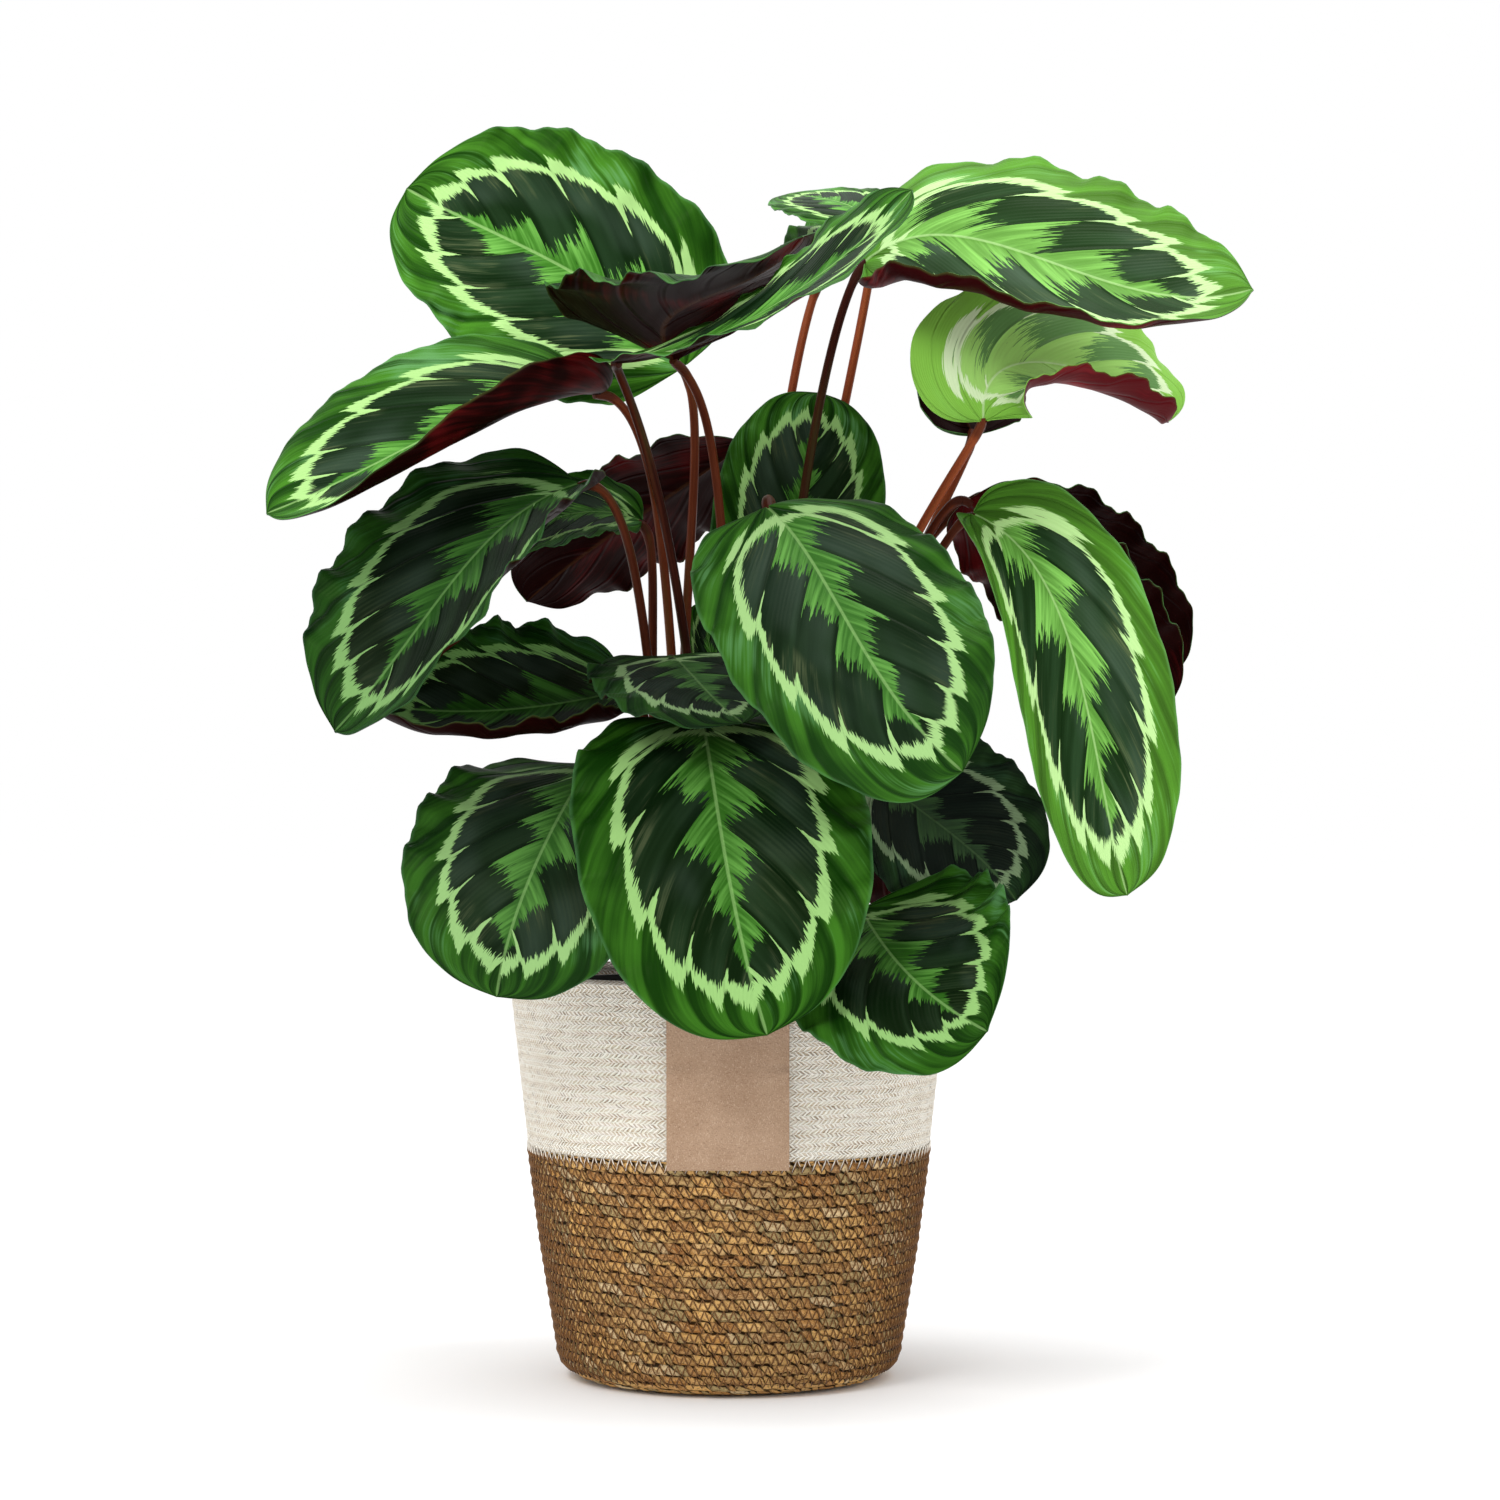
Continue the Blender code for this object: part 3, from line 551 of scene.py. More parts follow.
def leaf_upper_finish():
    """The painted upper side: a green margin, a pale brushed ring, a near-black zone with olive
    streaks, and a bright feather along the midrib. All marks follow the side veins. Between two
    veins the ring's outer edge swells towards the tip, and on each vein a thin spike runs
    inwards."""
    f = Finish("leaf_upper", specular=0.05, tint=(0.75, 1.0, 0.45))
    u, v = f.pattern()
    light = f.tone("light")
    seed = f.tone("seed")
    a = abs(v)
    oval = narrowing(u)
    out = a * (1 - oval).at_least(0).root()
    ring_place = (a * a * (1 - oval) + 0.76 * oval).root()
    vein = side_vein(u, a)
    side = v.above(0)
    wander = f.noise((vein * 3, side * 5, seed)) - 0.5
    panel = vein * PANELS + side * 0.5 + wander * 0.9 + seed
    phase = panel.fraction()
    luck = f.chance((panel.whole(), side, seed.whole()))
    streak = f.noise((vein * 60, a * 3, seed + side * 9)) - 0.5
    hair = f.noise((vein * 170, a * 9, seed + side * 3)) - 0.5
    broad = f.noise((vein * 13, a * 1.6, seed * 3 + side * 7))
    blot = f.noise((u * 4, v * 2, seed))
    swell = phase ** 0.75 * f.fade(phase, 0.80, 1.0)
    spike = f.fade(1 - panel.edge(), 0.0, 0.17)
    outer = 0.655 + 0.110 * swell + 0.05 * streak + 0.11 * hair
    inner = 0.615 + 0.040 * swell + 0.06 * streak + 0.13 * hair - 0.11 * spike * (0.4 + luck)
    inside = f.fade(ring_place - inner, -0.006, 0.006)
    ring = (1 - inside) * f.fade(ring_place - outer, -0.006, 0.006)
    taper = f.clip(1 - (vein / 0.86).at_least(0) ** 2.2)
    group = 1 - 0.85 * phase ** 0.8
    young = f.clip(light - 1)
    reach = taper * (0.03 + 0.34 * group * (0.65 + 0.5 * luck) + 0.24 * streak + 0.35 * hair)
    reach = reach * (1 + young)
    feather = f.fade(out - reach, -0.006, 0.008) * f.smooth(u, 0.0, 0.05) * inside
    rib = f.fade(out, 0.006, 0.016)
    dark_low = f.mix(light, (0.001, 0.004, 0.0006), (0.004, 0.018, 0.004))
    dark_high = f.mix(light, (0.007, 0.014, 0.006), (0.016, 0.044, 0.016))
    # Lighter towards the middle of each panel: a painted highlight on the panel's bulge, mixed with
    # random broad tone.
    dark = f.mix(f.smooth(broad + 0.4 * (swell - 0.5), 0.35, 0.75), dark_low, dark_high)
    olive = f.mix(light, (0.016, 0.022, 0.012), (0.085, 0.115, 0.050))
    # Painted sheen: soft grey-green patches over the dark zone, strongest on each panel's bulge,
    # stand for reflected light.
    sheen = f.smooth(f.noise((u * 2.4, v * 1.4, seed + 5)), 0.46, 0.66)
    dark = f.mix(sheen * (0.25 + 0.75 * swell) * (0.4 + 0.6 * broad), dark,
                 f.mix(light, (0.018, 0.030, 0.022), (0.055, 0.090, 0.062)))
    patch = f.smooth(blot + 0.5 * (ring_place - 0.5), 0.44, 0.62)
    dark = f.mix(f.smooth(broad + 0.9 * streak + 0.6 * hair, 0.50, 0.85) * patch, dark, olive)
    edge_low = f.mix(light, (0.001, 0.010, 0.001), (0.009, 0.056, 0.003))
    edge_high = f.mix(light, (0.012, 0.062, 0.006), (0.068, 0.25, 0.018))
    # The margin's band is lighter on each panel's bulge, a painted highlight, and otherwise varies
    # at random.
    band = f.smooth(0.6 * broad + 0.6 * blot + 0.25 * streak + 0.3 * (swell - 0.5), 0.4, 0.85)
    margin = f.mix(band, edge_low, edge_high)
    # Painted highlight: pale patches on the margin and a pale line along its very edge stand for
    # light caught by the gloss.
    painted_highlight = f.mix(light, (0.030, 0.10, 0.045), (0.17, 0.42, 0.16))
    margin = f.mix(f.smooth(blot + 0.5 * streak, 0.56, 0.78) * 0.6, margin, painted_highlight)
    margin = f.mix(f.smooth(a, 0.965, 1.0) * 0.3, margin, painted_highlight)
    plume_low = f.mix(light, (0.006, 0.035, 0.003), (0.048, 0.20, 0.018))
    plume_high = f.mix(light, (0.022, 0.10, 0.010), (0.21, 0.55, 0.10))
    plume = f.mix(f.smooth(0.7 * broad + streak + 0.9 * out, 0.25, 0.8), plume_low, plume_high)
    pale = f.mix(light, (0.12, 0.28, 0.07), (0.46, 0.76, 0.27))
    margin = f.mix(young, margin, (0.30, 0.66, 0.09))
    dark = f.mix(young * young, dark, (0.20, 0.44, 0.13))
    plume = f.mix(young, plume, (0.45, 0.80, 0.20))
    pale = f.mix(young, pale, (0.80, 0.95, 0.62))
    colour = f.mix(inside, margin, dark)
    colour = f.mix(feather, colour, plume)
    colour = f.mix(ring, colour, pale)
    colour = f.mix(rib * 0.45, colour, pale)
    # Painted sheen: a greyish version of the pattern, mixed in by each leaf's own share, stands for
    # light reflected off the gloss.
    sheen_grey = f.mix(feather * 0.6, (0.014, 0.019, 0.018), (0.075, 0.12, 0.075))
    f.colour(f.mix(f.tone("dull"), colour, f.mix(ring, sheen_grey, (0.30, 0.38, 0.26))))
    f.roughness(0.30 + 0.2 * broad)
    between = f.fade(panel.edge(), 0.84, 1.0)
    lines = (panel * TURN * 9).sine() * 0.5 + 0.5
    f.bump(0.10 * lines + 0.6 * between + 0.6 * broad + 0.5 * f.smooth(out, 0.0, 0.04), 0.0008)
    return f


def leaf_under_finish():
    """The maroon underside, with a painted red glow of light shining through in places and paler
    ribs.
    """
    f = Finish("leaf_under", roughness=0.45, specular=0.035, tint=(1.0, 0.45, 0.40))
    u, v = f.pattern()
    light = f.tone("light")
    seed = f.tone("seed")
    a = abs(v)
    vein = side_vein(u, a)
    side = v.above(0)
    panel = vein * PANELS + side * 0.5 + seed
    streak = f.noise((vein * 40, a * 3, seed + side * 9))
    cloud = f.noise(f.place(), 17.0)
    # Painted glow: red patches stand for light shining through the leaf from behind; young leaves
    # get a brighter red painted glow.
    painted_glow = f.smooth(cloud + 0.3 * (streak - 0.5), 0.50, 0.76) * f.clip(0.2 + 0.8 * light)
    maroon = f.mix(streak, (0.004, 0.0005, 0.0005), (0.012, 0.0014, 0.0012))
    maroon = f.mix(painted_glow, maroon, (0.11, 0.005, 0.006))
    maroon = f.mix(f.clip(light - 1) * (0.4 + 0.6 * painted_glow), maroon, (0.26, 0.014, 0.022))
    colour = f.mix(f.fade(a, 0.012, 0.035) * 0.6, maroon, (0.05, 0.018, 0.006))
    # A pale green line along the margin is a painted edge highlight.
    f.colour(f.mix(f.smooth(a, 0.972, 1.0) * 0.4, colour, (0.08, 0.12, 0.03)))
    f.bump(0.8 * f.fade(panel.edge(), 0.0, 0.24) + 0.3 * streak, 0.0008)
    return f


def stem_finish():
    """Red-brown stems with fine lengthwise streaks and a darker, thicker joint by the blade."""
    f = Finish("stem", roughness=0.35, specular=0.10, tint=(1.0, 0.60, 0.50))
    u, v = f.pattern()
    seed = f.tone("seed")
    streak = f.noise((v * 9, u * 6, seed), detail=3.0)
    dark = f.mix(streak, (0.009, 0.0015, 0.001), (0.036, 0.005, 0.003))
    warm = f.mix(streak, (0.19, 0.022, 0.010), (0.36, 0.10, 0.03))
    colour = f.mix(f.clip(f.tone("red") + (streak - 0.5) * 0.3), dark, warm)
    green = f.smooth(f.noise((v * 3, u * 4, seed + 4)), 0.52, 0.75) * 0.4
    colour = f.mix(green, colour, (0.05, 0.055, 0.012))
    f.colour(f.mix(f.smooth(u, 0.955, 0.97) * 0.6, colour, (0.035, 0.010, 0.007)))
    f.bump(streak + 0.4 * f.noise(f.place(), 900.0), 0.0004)
    return f


def seagrass_finish():
    """Twisted seagrass: each strand has its own tan, with fibres along it and painted shade in the
    gaps.
    """
    f = Finish("seagrass", roughness=0.6, specular=0.06)
    u, v = f.pattern()
    row = v.whole()
    height = v.fraction() * 2 - 1
    strand = strand_count(u, row, height, Value.sine, Value.arcsine)
    number = (strand.whole() + 4 * STRANDS) % STRANDS
    luck = f.chance((number, row, 3.0))
    other = f.chance((number, row, 8.0))
    corner = strand.edge() ** 2.4 + 0.78 * abs(height) ** 2.4
    painted_gap_shade = f.smooth(corner, 0.55, 1.10)
    fibre = f.noise((strand * 14, v * 1.5, row), detail=3.0)
    speck = f.noise(f.place(), 700.0)
    patch = f.smooth(f.noise(f.place(), 26.0, 3.0), 0.4, 0.68)
    tan = f.mix(luck, (0.35, 0.12, 0.022), (0.90, 0.52, 0.16))
    tan = f.mix(f.smooth(other, 0.86, 0.97) * 0.9, tan, (0.80, 0.64, 0.39))
    tan = f.mix(f.smooth(other, 0.08, 0.28), (0.38, 0.29, 0.13), tan)
    tan = f.mix(patch * 0.35, tan, (0.33, 0.25, 0.11))
    tan = f.mix(f.smooth(fibre, 0.35, 0.70) * 0.65, tan, (0.78, 0.52, 0.24))
    tan = f.mix(f.smooth(speck, 0.50, 0.70) * 0.65, tan, (0.09, 0.035, 0.008))
    # Painted shade: near-black where strands and rows meet.
    f.colour(f.mix(painted_gap_shade * 0.97, tan, (0.014, 0.005, 0.0008)))
    f.bump(fibre * 0.5 + (1 - painted_gap_shade) * 0.8, 0.0012)
    return f


def cotton_finish():
    """Off-white braided rope: short dark dashes in three lines for each row of rope, slanting
    one way and then the other like herringbone, and painted brown shade where two rows meet."""
    f = Finish("cotton_rope", roughness=0.9, specular=0.1, sheen=0.1)
    u, v = f.pattern()
    line = v * DASH_LINES
    number = line.whole()
    height = line.fraction() - 0.5
    lean = number % 2 * 2 - 1
    sway = 1.2 * f.noise((u * 0.2, v * 2, 1.0)) + 0.9 * f.noise((u * 1.1, number * 3.1, 2.0))
    stitch = u + lean * height * 1.1 + number * GOLDEN + sway
    luck = f.chance((stitch.whole(), number, 1.0))
    dash = f.smooth(stitch.edge(), 0.30, 0.72) * f.fade(abs(height), 0.30, 0.50)
    # Painted shade: the rope is browner and its dashes darker in the crease where two rows meet.
    crease_shade = f.fade(1 - v.edge(), 0.06, 0.26)
    patch = f.noise(f.place(), 30.0)
    fluff = f.noise(f.place(), 1500.0)
    white = f.mix(fluff, (0.97, 0.91, 0.79), (1.0, 0.98, 0.90))
    tint = f.mix(f.smooth(patch + 0.3 * crease_shade, 0.5, 0.8), (0.54, 0.37, 0.17), (0.46, 0.27, 0.09))
    deep = f.mix(f.smooth(luck, 0.78, 0.98) * 0.8, tint, (0.19, 0.105, 0.04))
    share = dash * (0.14 + 0.65 * luck + 0.3 * crease_shade)
    f.colour(f.mix(f.clip(share), f.mix(crease_shade * 0.22, white, (0.66, 0.52, 0.34)), deep))
    f.bump(1 - dash, 0.0012)
    return f


def thread_finish(name, low, high):
    """Sewing thread, a little uneven in tone."""
    f = Finish(name, roughness=0.75, specular=0.2, sheen=0.1)
    f.colour(f.mix(f.noise(f.place(), 160.0), low, high))
    f.bump(f.noise(f.place(), 1500.0), 0.0002)
    return f


def kraft_finish():
    """Bare kraft card: brown with short darker and lighter fibres."""
    f = Finish("kraft_card", roughness=0.85, specular=0.2)
    x, y, z = f.parts(f.place())
    long_way = f.noise((x * 700, y * 700, z * 2400), detail=3.0)
    cross_way = f.noise((x * 2400, y * 900, z * 800), detail=3.0)
    cloud = f.noise(f.place(), 45.0, 3.0)
    card = f.mix(f.smooth(cloud, 0.3, 0.7), (0.385, 0.25, 0.16), (0.44, 0.295, 0.195))
    card = f.mix(f.smooth(long_way, 0.52, 0.66) * 0.55, card, (0.22, 0.125, 0.075))
    f.colour(f.mix(f.smooth(cross_way, 0.52, 0.68) * 0.5, card, (0.68, 0.52, 0.39)))
    f.bump(long_way + cross_way, 0.00025)
    return f


def soil_finish():
    """Dark potting soil with lighter crumbs."""
    f = Finish("potting_soil", roughness=0.95, specular=0.05)
    crumbs = f.noise(f.place(), 420.0, 4.0)
    clods = f.noise(f.place(), 110.0)
    soil = f.mix(f.smooth(clods, 0.35, 0.65), (0.010, 0.006, 0.004), (0.030, 0.018, 0.011))
    f.colour(f.mix(f.smooth(crumbs, 0.58, 0.72) * 0.7, soil, (0.10, 0.06, 0.035)))
    f.bump(crumbs + clods, 0.002)
    return f


def plastic_finish():
    """The dull black plastic of a nursery pot, lightly scuffed."""
    f = Finish("pot_plastic", specular=0.2)
    scuff = f.noise(f.place(), 90.0, 4.0)
    f.colour(f.mix(f.smooth(scuff, 0.55, 0.8), (0.012, 0.011, 0.010), (0.035, 0.032, 0.030)))
    f.roughness(0.42 + 0.25 * scuff)
    f.bump(scuff, 0.0003)
    return f


def spine_curve(points, u):
    """The midrib and its direction: the cubic through the four points, set apart along u by
    the lengths between them."""
    points = np.array(points, dtype=float)
    knots = lengths(points)
    factors = np.linalg.solve(np.vander(knots / knots[-1], 4), points)
    slope = spread(3 * u ** 2, 2 * u, 1) @ factors[:3]
    return np.vander(u, 4) @ factors, unit(slope)


def half_sums(values, v):
    """Running sums of values over |v|, from 0 at the midrib out to each margin."""
    parts = (values[:, 1:] + values[:, :-1]) / 2 * np.abs(np.diff(v))
    middle = int(np.argmin(np.abs(v)))
    left = np.cumsum(parts[:, :middle][:, ::-1], axis=1)[:, ::-1]
    right = np.cumsum(parts[:, middle:], axis=1)
    return np.concatenate([left, np.zeros((len(values), 1)), right], axis=1)


def half_angles(left, right, along, v):
    """An angle in radians that goes evenly from the stem's end to the tip's on each half."""
    stem_end, tip_end = np.where(v < 0, np.array(left)[:, None], np.array(right)[:, None])
    return np.radians(stem_end + along * (tip_end - stem_end))


def blade_surface(item, u, v, seed):
    """The middle surface of a blade. Across a half the surface rises at the angle fold + turn t
    + hem t^5, so out and up are the sums of that angle's cosine and sine from the midrib on.
    Long waves, short ripples and swelling between the side veins are added to up."""
    middle, tangent = spine_curve(item.spine, u)
    along = u[:, None]
    face_stem, face_tip = unit(item.faces)
    face = square_to(face_stem + along * (face_tip - face_stem), tangent)
    across = np.cross(tangent, face)
    oval = np.sqrt(np.clip(1 - narrowing(u), 0, 1))
    point = np.clip((1 - u) * 18, 0.12, 1) * TIP_POINT
    drawn_in = 1 - np.exp(-(1 - u) / TIP_SHARPNESS)
    width = np.maximum(item.half_width * BLADE_FULLNESS * oval * drawn_in, point)[:, None]
    side = np.where(v < 0, -1.0, 1.0)
    t = np.abs(v)
    start = math.radians(item.fold)
    turn = half_angles(item.left, item.right, along, v) - start
    hem = half_angles(item.hem_left, item.hem_right, along, v)
    angle = start + turn * t + hem * t ** 5
    out = half_sums(np.cos(angle), v)
    up = half_sums(np.sin(angle), v)
    wave = WAVE_HEIGHT * t ** 3 * np.sin(TURN * MARGIN_WAVES * along) * side
    panel = side_vein(along, t) * PANELS + (side > 0) * 0.5 + seed
    bulge = 0.5 - 0.5 * np.cos(TURN * panel)
    up = up + PANEL_SWELL * bulge * np.sin(math.pi * t) * np.sin(math.pi * along)
    ripple = np.sin(TURN * (RIPPLES * along + seed + 0.3 * side))
    wave = wave + RIPPLE_HEIGHT * t ** 6 * ripple * np.sin(math.pi * along) ** 0.5
    up = up + item.frill * wave
    out = out * (1 - SCALLOP * t ** 3 * (1 - bulge))
    back = LOBE * t ** 2 * (1 - along) ** 3 * (1 - (1 - along) ** LOBE_START)
    return (middle[:, None, :] + width[:, :, None] * (
        (side * out)[:, :, None] * across[:, None, :] + up[:, :, None] * face[:, None, :]
        - back[:, :, None] * tangent[:, None, :])), face, width


def carry(piece, **tones):
    """Gives every point of a piece the same numbers, for its finish to read."""
    for name, value in tones.items():
        layer = piece.data.attributes.new(name, "FLOAT", "POINT")
        layer.data.foreach_set("value", np.full(len(piece.data.vertices), value, dtype="f4"))


def make_blade(item, number, upper, under):
    """A blade: a thin shell that is thicker along the midrib and thinnest at its margin."""
    rows, columns = SMALL_GRID if item.half_width < SMALL_BLADE else BLADE_GRID
    u = 0.5 - 0.5 * np.cos(np.linspace(0, math.pi, rows))
    half = np.sin(np.linspace(0, 1, columns)[1:] * math.pi / 2) ** 0.9
    v = np.concatenate([-half[::-1], [0], half])
    surface, face, width = blade_surface(item, u, v, (number * SHAPE_SEED) % 1.0)
    normal = unit(np.cross(np.gradient(surface, axis=1), np.gradient(surface, axis=0)))
    normal[0] = face[0]
    normal[-1] = face[-1]
    t = np.abs(v)
    thick = BLADE_MM + (MARGIN_MM - BLADE_MM) * t ** 2
    rib = RIB_MM * (1 - 0.75 * u[:, None]) * np.exp(-(width * t / RIB_WIDTH) ** 2)
    top = surface + normal * (BLADE_MM / 2)
    bottom = top - normal * (thick + rib)[:, :, None]
    blade = shell_piece("blade_" + item.name, top, bottom, spread(u[:, None], v), [upper, under])
    carry(blade, light=item.light, dull=item.dull, seed=number * TONE_SEED)
    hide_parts("leaf_" + item.name + "_blade")


def make_stem(item, number, finish):
    """A stem: a round tube on the solid's own line. It is thickest at the soil, has a thicker
    joint close to the blade, and runs on a little way under the midrib."""
    start, direction = spine_curve(item.spine, np.array([0.0]))
    end = start[0] + direction[0] * STEM_OVERLAP
    foot = np.array([*item.root, SOIL_CROWN - STEM_HOLE_DEPTH])
    ground = np.array([*item.root, SOIL_CROWN + STEM_STRAIGHT])
    lean = unit([STEM_LEAN * item.root[0], STEM_LEAN * item.root[1], 1])
    handle_low = ground + item.rise * lean
    handle_high = start[0] - direction[0] * item.reach
    t = 1 - (1 - np.linspace(0, 1, STEM_STEPS)[:, None]) ** 1.5
    curve = ((1 - t) ** 3 * ground + 3 * (1 - t) ** 2 * t * handle_low
             + 3 * (1 - t) * t ** 2 * handle_high + t ** 3 * end)
    path = np.concatenate([[foot], curve])
    length = lengths(path)
    share = length / length[-1]
    from_blade = length[-1] - length
    radius = STEM_ROOT_RADIUS + (STEM_TOP_RADIUS - STEM_ROOT_RADIUS) * np.sqrt(share)
    radius = radius + JOINT_SWELL * np.exp(-((from_blade - 10) / 7) ** 4)
    radius[-1] *= 0.55
    down = -unit(item.faces)[0]
    path += down * (STEM_TUCK * np.exp(-(from_blade / 9) ** 2))[:, None]
    along = unit(np.gradient(path, axis=0))
    sideways = square_to(np.array([1.0, 0.05, 0.0]), along)
    points = rings(path, sideways, np.cross(along, sideways), radius, STEM_SIDES)
    pattern = spread(share[:, None], np.linspace(0, 1, STEM_SIDES + 1))
    stem = turned_piece("stem_" + item.name, points, pattern, finish)
    carry(stem, red=item.red, seed=number * TONE_SEED)
    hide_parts("leaf_" + item.name + "_stem")


def make_seagrass(finish):
    """The lower basket: coiled rows of twisted strands. The surface sinks by the row groove
    and the strand groove, and each strand stands a little differently."""
    columns = 480
    floor = spread(np.linspace(SEAGRASS_HOLE, BASE_RADIUS, 40), 0)
    bend = np.radians(np.linspace(0, 90, 22)[1:])
    corner = spread(BASE_RADIUS + CORNER_RADIUS * np.sin(bend), CORNER_RADIUS * (1 - np.cos(bend)))
    heights = np.linspace(CORNER_RADIUS, JOIN_HEIGHT, SEAGRASS_ROWS * 7 + 1)[1:]
    outer = np.concatenate([floor, corner, spread(wall_radius(heights), heights)])
    length = lengths(outer)
    wall_start = length[len(floor) + len(corner) - 1]
    row = (length - wall_start)[:, None] / SEAGRASS_PITCH + ROWS_BELOW
    inner_heights = np.linspace(JOIN_HEIGHT - 0.3, 30, 12)
    inner = spread(wall_radius(inner_heights) - SEAGRASS_WALL, inner_heights)
    inside = spread([BASE_RADIUS + 2, 40, SEAGRASS_HOLE], FLOOR_THICKNESS)
    rest = np.concatenate([inner, inside])
    turn_share = np.arange(columns + 1) / columns * STRANDS
    whole = np.floor(row)
    strand = strand_count(turn_share[:-1], whole, 2 * (row - whole) - 1, np.sin, np.arcsin)
    luck = np.random.default_rng(11).uniform(-0.5, 0.5, (90, STRANDS))
    lift = luck[whole.astype(int), np.floor(strand).astype(int) % STRANDS]
    sink = ROW_GROOVE * groove(row, 0.6) + STRAND_GROOVE * groove(strand, 0.6)
    sink += STRAND_STEP * (0.5 - lift) * np.abs(np.sin(math.pi * strand))
    sink[-1] = 0.4
    along = unit(np.gradient(outer, axis=0))
    radius = np.concatenate([outer[:, :1] - sink * along[:, 1:],
                             np.repeat(rest[:, :1], columns, axis=1)])
    height = np.concatenate([outer[:, 1:] + sink * along[:, :1],
                             np.repeat(rest[:, 1:], columns, axis=1)])
    rows_all = np.concatenate([row, row[-1] + 1 + np.arange(len(rest))[:, None] * 1.5])
    piece = turned_piece("basket_seagrass_rope", turned(radius, height, around(columns)),
                         spread(turn_share, rows_all), finish, sharp=0)
    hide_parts("basket_seagrass")


def zigzag(heights, thick, lift):
    """Closed zigzag threads on the wall, one for each pair of heights. Each stroke goes from the
    lower to the upper height and back, and stands higher by lift in its middle."""
    steps = THREAD_STROKES * 4
    swing = np.abs((np.arange(steps) / 2) % 2 - 1)
    hump = 1 - np.abs(2 * swing - 1)
    grids = []
    for number, (low, high) in enumerate(heights):
        angle = around(steps) + number * THREAD_SHIFT
        height = low + (high - low) * swing
        path = turned(wall_radius(height) + lift * hump, height, angle)
        away = turned(1, 0, angle)
        along = unit(np.roll(path, -1, axis=0) - np.roll(path, 1, axis=0))
        grids.append(rings(path, away, np.cross(along, away), thick, 4))
    return np.array(grids)


def make_threads(name, grids, finish):
    """One piece from several closed tubes."""
    count, rows, sides = grids.shape[:3]
    cells = grid_cells(rows + 1, sides, True)[0] % (rows * sides)
    quads = (cells + np.arange(count)[:, None, None] * rows * sides).reshape(-1, 4)
    piece = make_piece(name, grids.reshape(-1, 3), quads, NO_TRIANGLES,
                       list(np.zeros((len(quads), 4, 2))), [finish], sharp=0)
    return piece


def make_cotton(finish):
    """The upper band: rows of braided rope, |sin|^0.5 in section, with a round top row."""
    columns = 330
    bottom = JOIN_HEIGHT + 0.3
    pitch = (RIM_HEIGHT - bottom) / COTTON_ROWS
    heights = np.linspace(bottom, RIM_HEIGHT - COTTON_TOP, COTTON_ROWS * 8)
    row = (heights - bottom) / pitch
    outer = spread(wall_radius(heights) - 0.1 - 0.5 * groove(row, 0.5), heights)
    bend = np.radians(np.linspace(0, 180, 12)[1:])
    top_middle = wall_radius(RIM_HEIGHT) - COTTON_WALL / 2
    top = spread(top_middle + COTTON_WALL / 2 * np.cos(bend),
                 RIM_HEIGHT - COTTON_TOP + (COTTON_TOP - 0.1) * np.sin(bend))
    inner_heights = np.linspace(RIM_HEIGHT - 5, bottom, 40)
    inner_row = (inner_heights - bottom) / pitch
    inner = spread(wall_radius(inner_heights) - COTTON_WALL + 1.2 * groove(inner_row, 0.5),
                   inner_heights)
    profile = np.concatenate([outer, top, inner])
    rows_all = np.concatenate([row, row[-1] + np.linspace(0.1, 1.4, len(top)), inner_row + 20,
                               [row[0]]])
    angle = around(columns)
    sway = 0.35 * np.sin(angle * 3 + 1) + 0.25 * np.sin(angle * 11)
    height = profile[:, 1:]
    weight = np.clip((height - bottom) / 12, 0, 1) * np.clip((RIM_HEIGHT - height) / 12, 0, 1)
    points = turned(profile[:, :1], height + weight * sway, angle)
    pattern = spread(np.arange(columns + 1) / columns * STITCHES, rows_all[:, None])
    piece = turned_piece("basket_cotton_rope", points, pattern, finish, ring=True, sharp=0)
    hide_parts("basket_cotton_band")


def make_tag(finish):
    """The card tag: a strip carried along a folded line, slightly bowed round the basket."""
    rim_y = -float(wall_radius(RIM_HEIGHT)) - 0.3
    foot_y = -float(wall_radius(TAG_BOTTOM)) - 1.4
    bend_z = RIM_HEIGHT - 2
    bend = np.radians(np.linspace(0, 90, 8)[1:])
    front = spread(np.linspace(foot_y, rim_y, 40), np.linspace(TAG_BOTTOM, bend_z, 40))
    fold_out = spread(rim_y + TAG_BEND * (1 - np.cos(bend)), bend_z + 2.3 * np.sin(bend))
    over = spread(np.linspace(rim_y + 4, TAG_INSIDE_Y - 4, 6), RIM_HEIGHT + 0.3)
    fold_in = spread(TAG_INSIDE_Y - TAG_BEND * (1 - np.sin(bend)), bend_z + 2.3 * np.cos(bend))
    back = spread(TAG_INSIDE_Y, np.linspace(RIM_HEIGHT - 3, RIM_HEIGHT - TAG_INSIDE_DEPTH, 6))
    line = np.concatenate([front, fold_out, over, fold_in, back])
    along = unit(np.gradient(line, axis=0))
    across = np.linspace(-1, 1, 25)
    hang = np.clip((RIM_HEIGHT - line[:, 1:]) / 30, 0, 1) * (line[:, :1] < rim_y + 5)
    inner = spread(across * TAG_WIDTH / 2, line[:, :1] + hang * TAG_BOW * across ** 2, line[:, 1:])
    away = spread(0, -along[:, 1], along[:, 0])
    outer = inner + CARD_MM * away[:, None, :]
    pattern = spread(np.linspace(0, 1, len(line))[:, None], np.linspace(0, 1, len(across)))
    piece = shell_piece("card_tag_bare", outer, inner, pattern, [finish], sharp=60)
    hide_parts("card_tag")


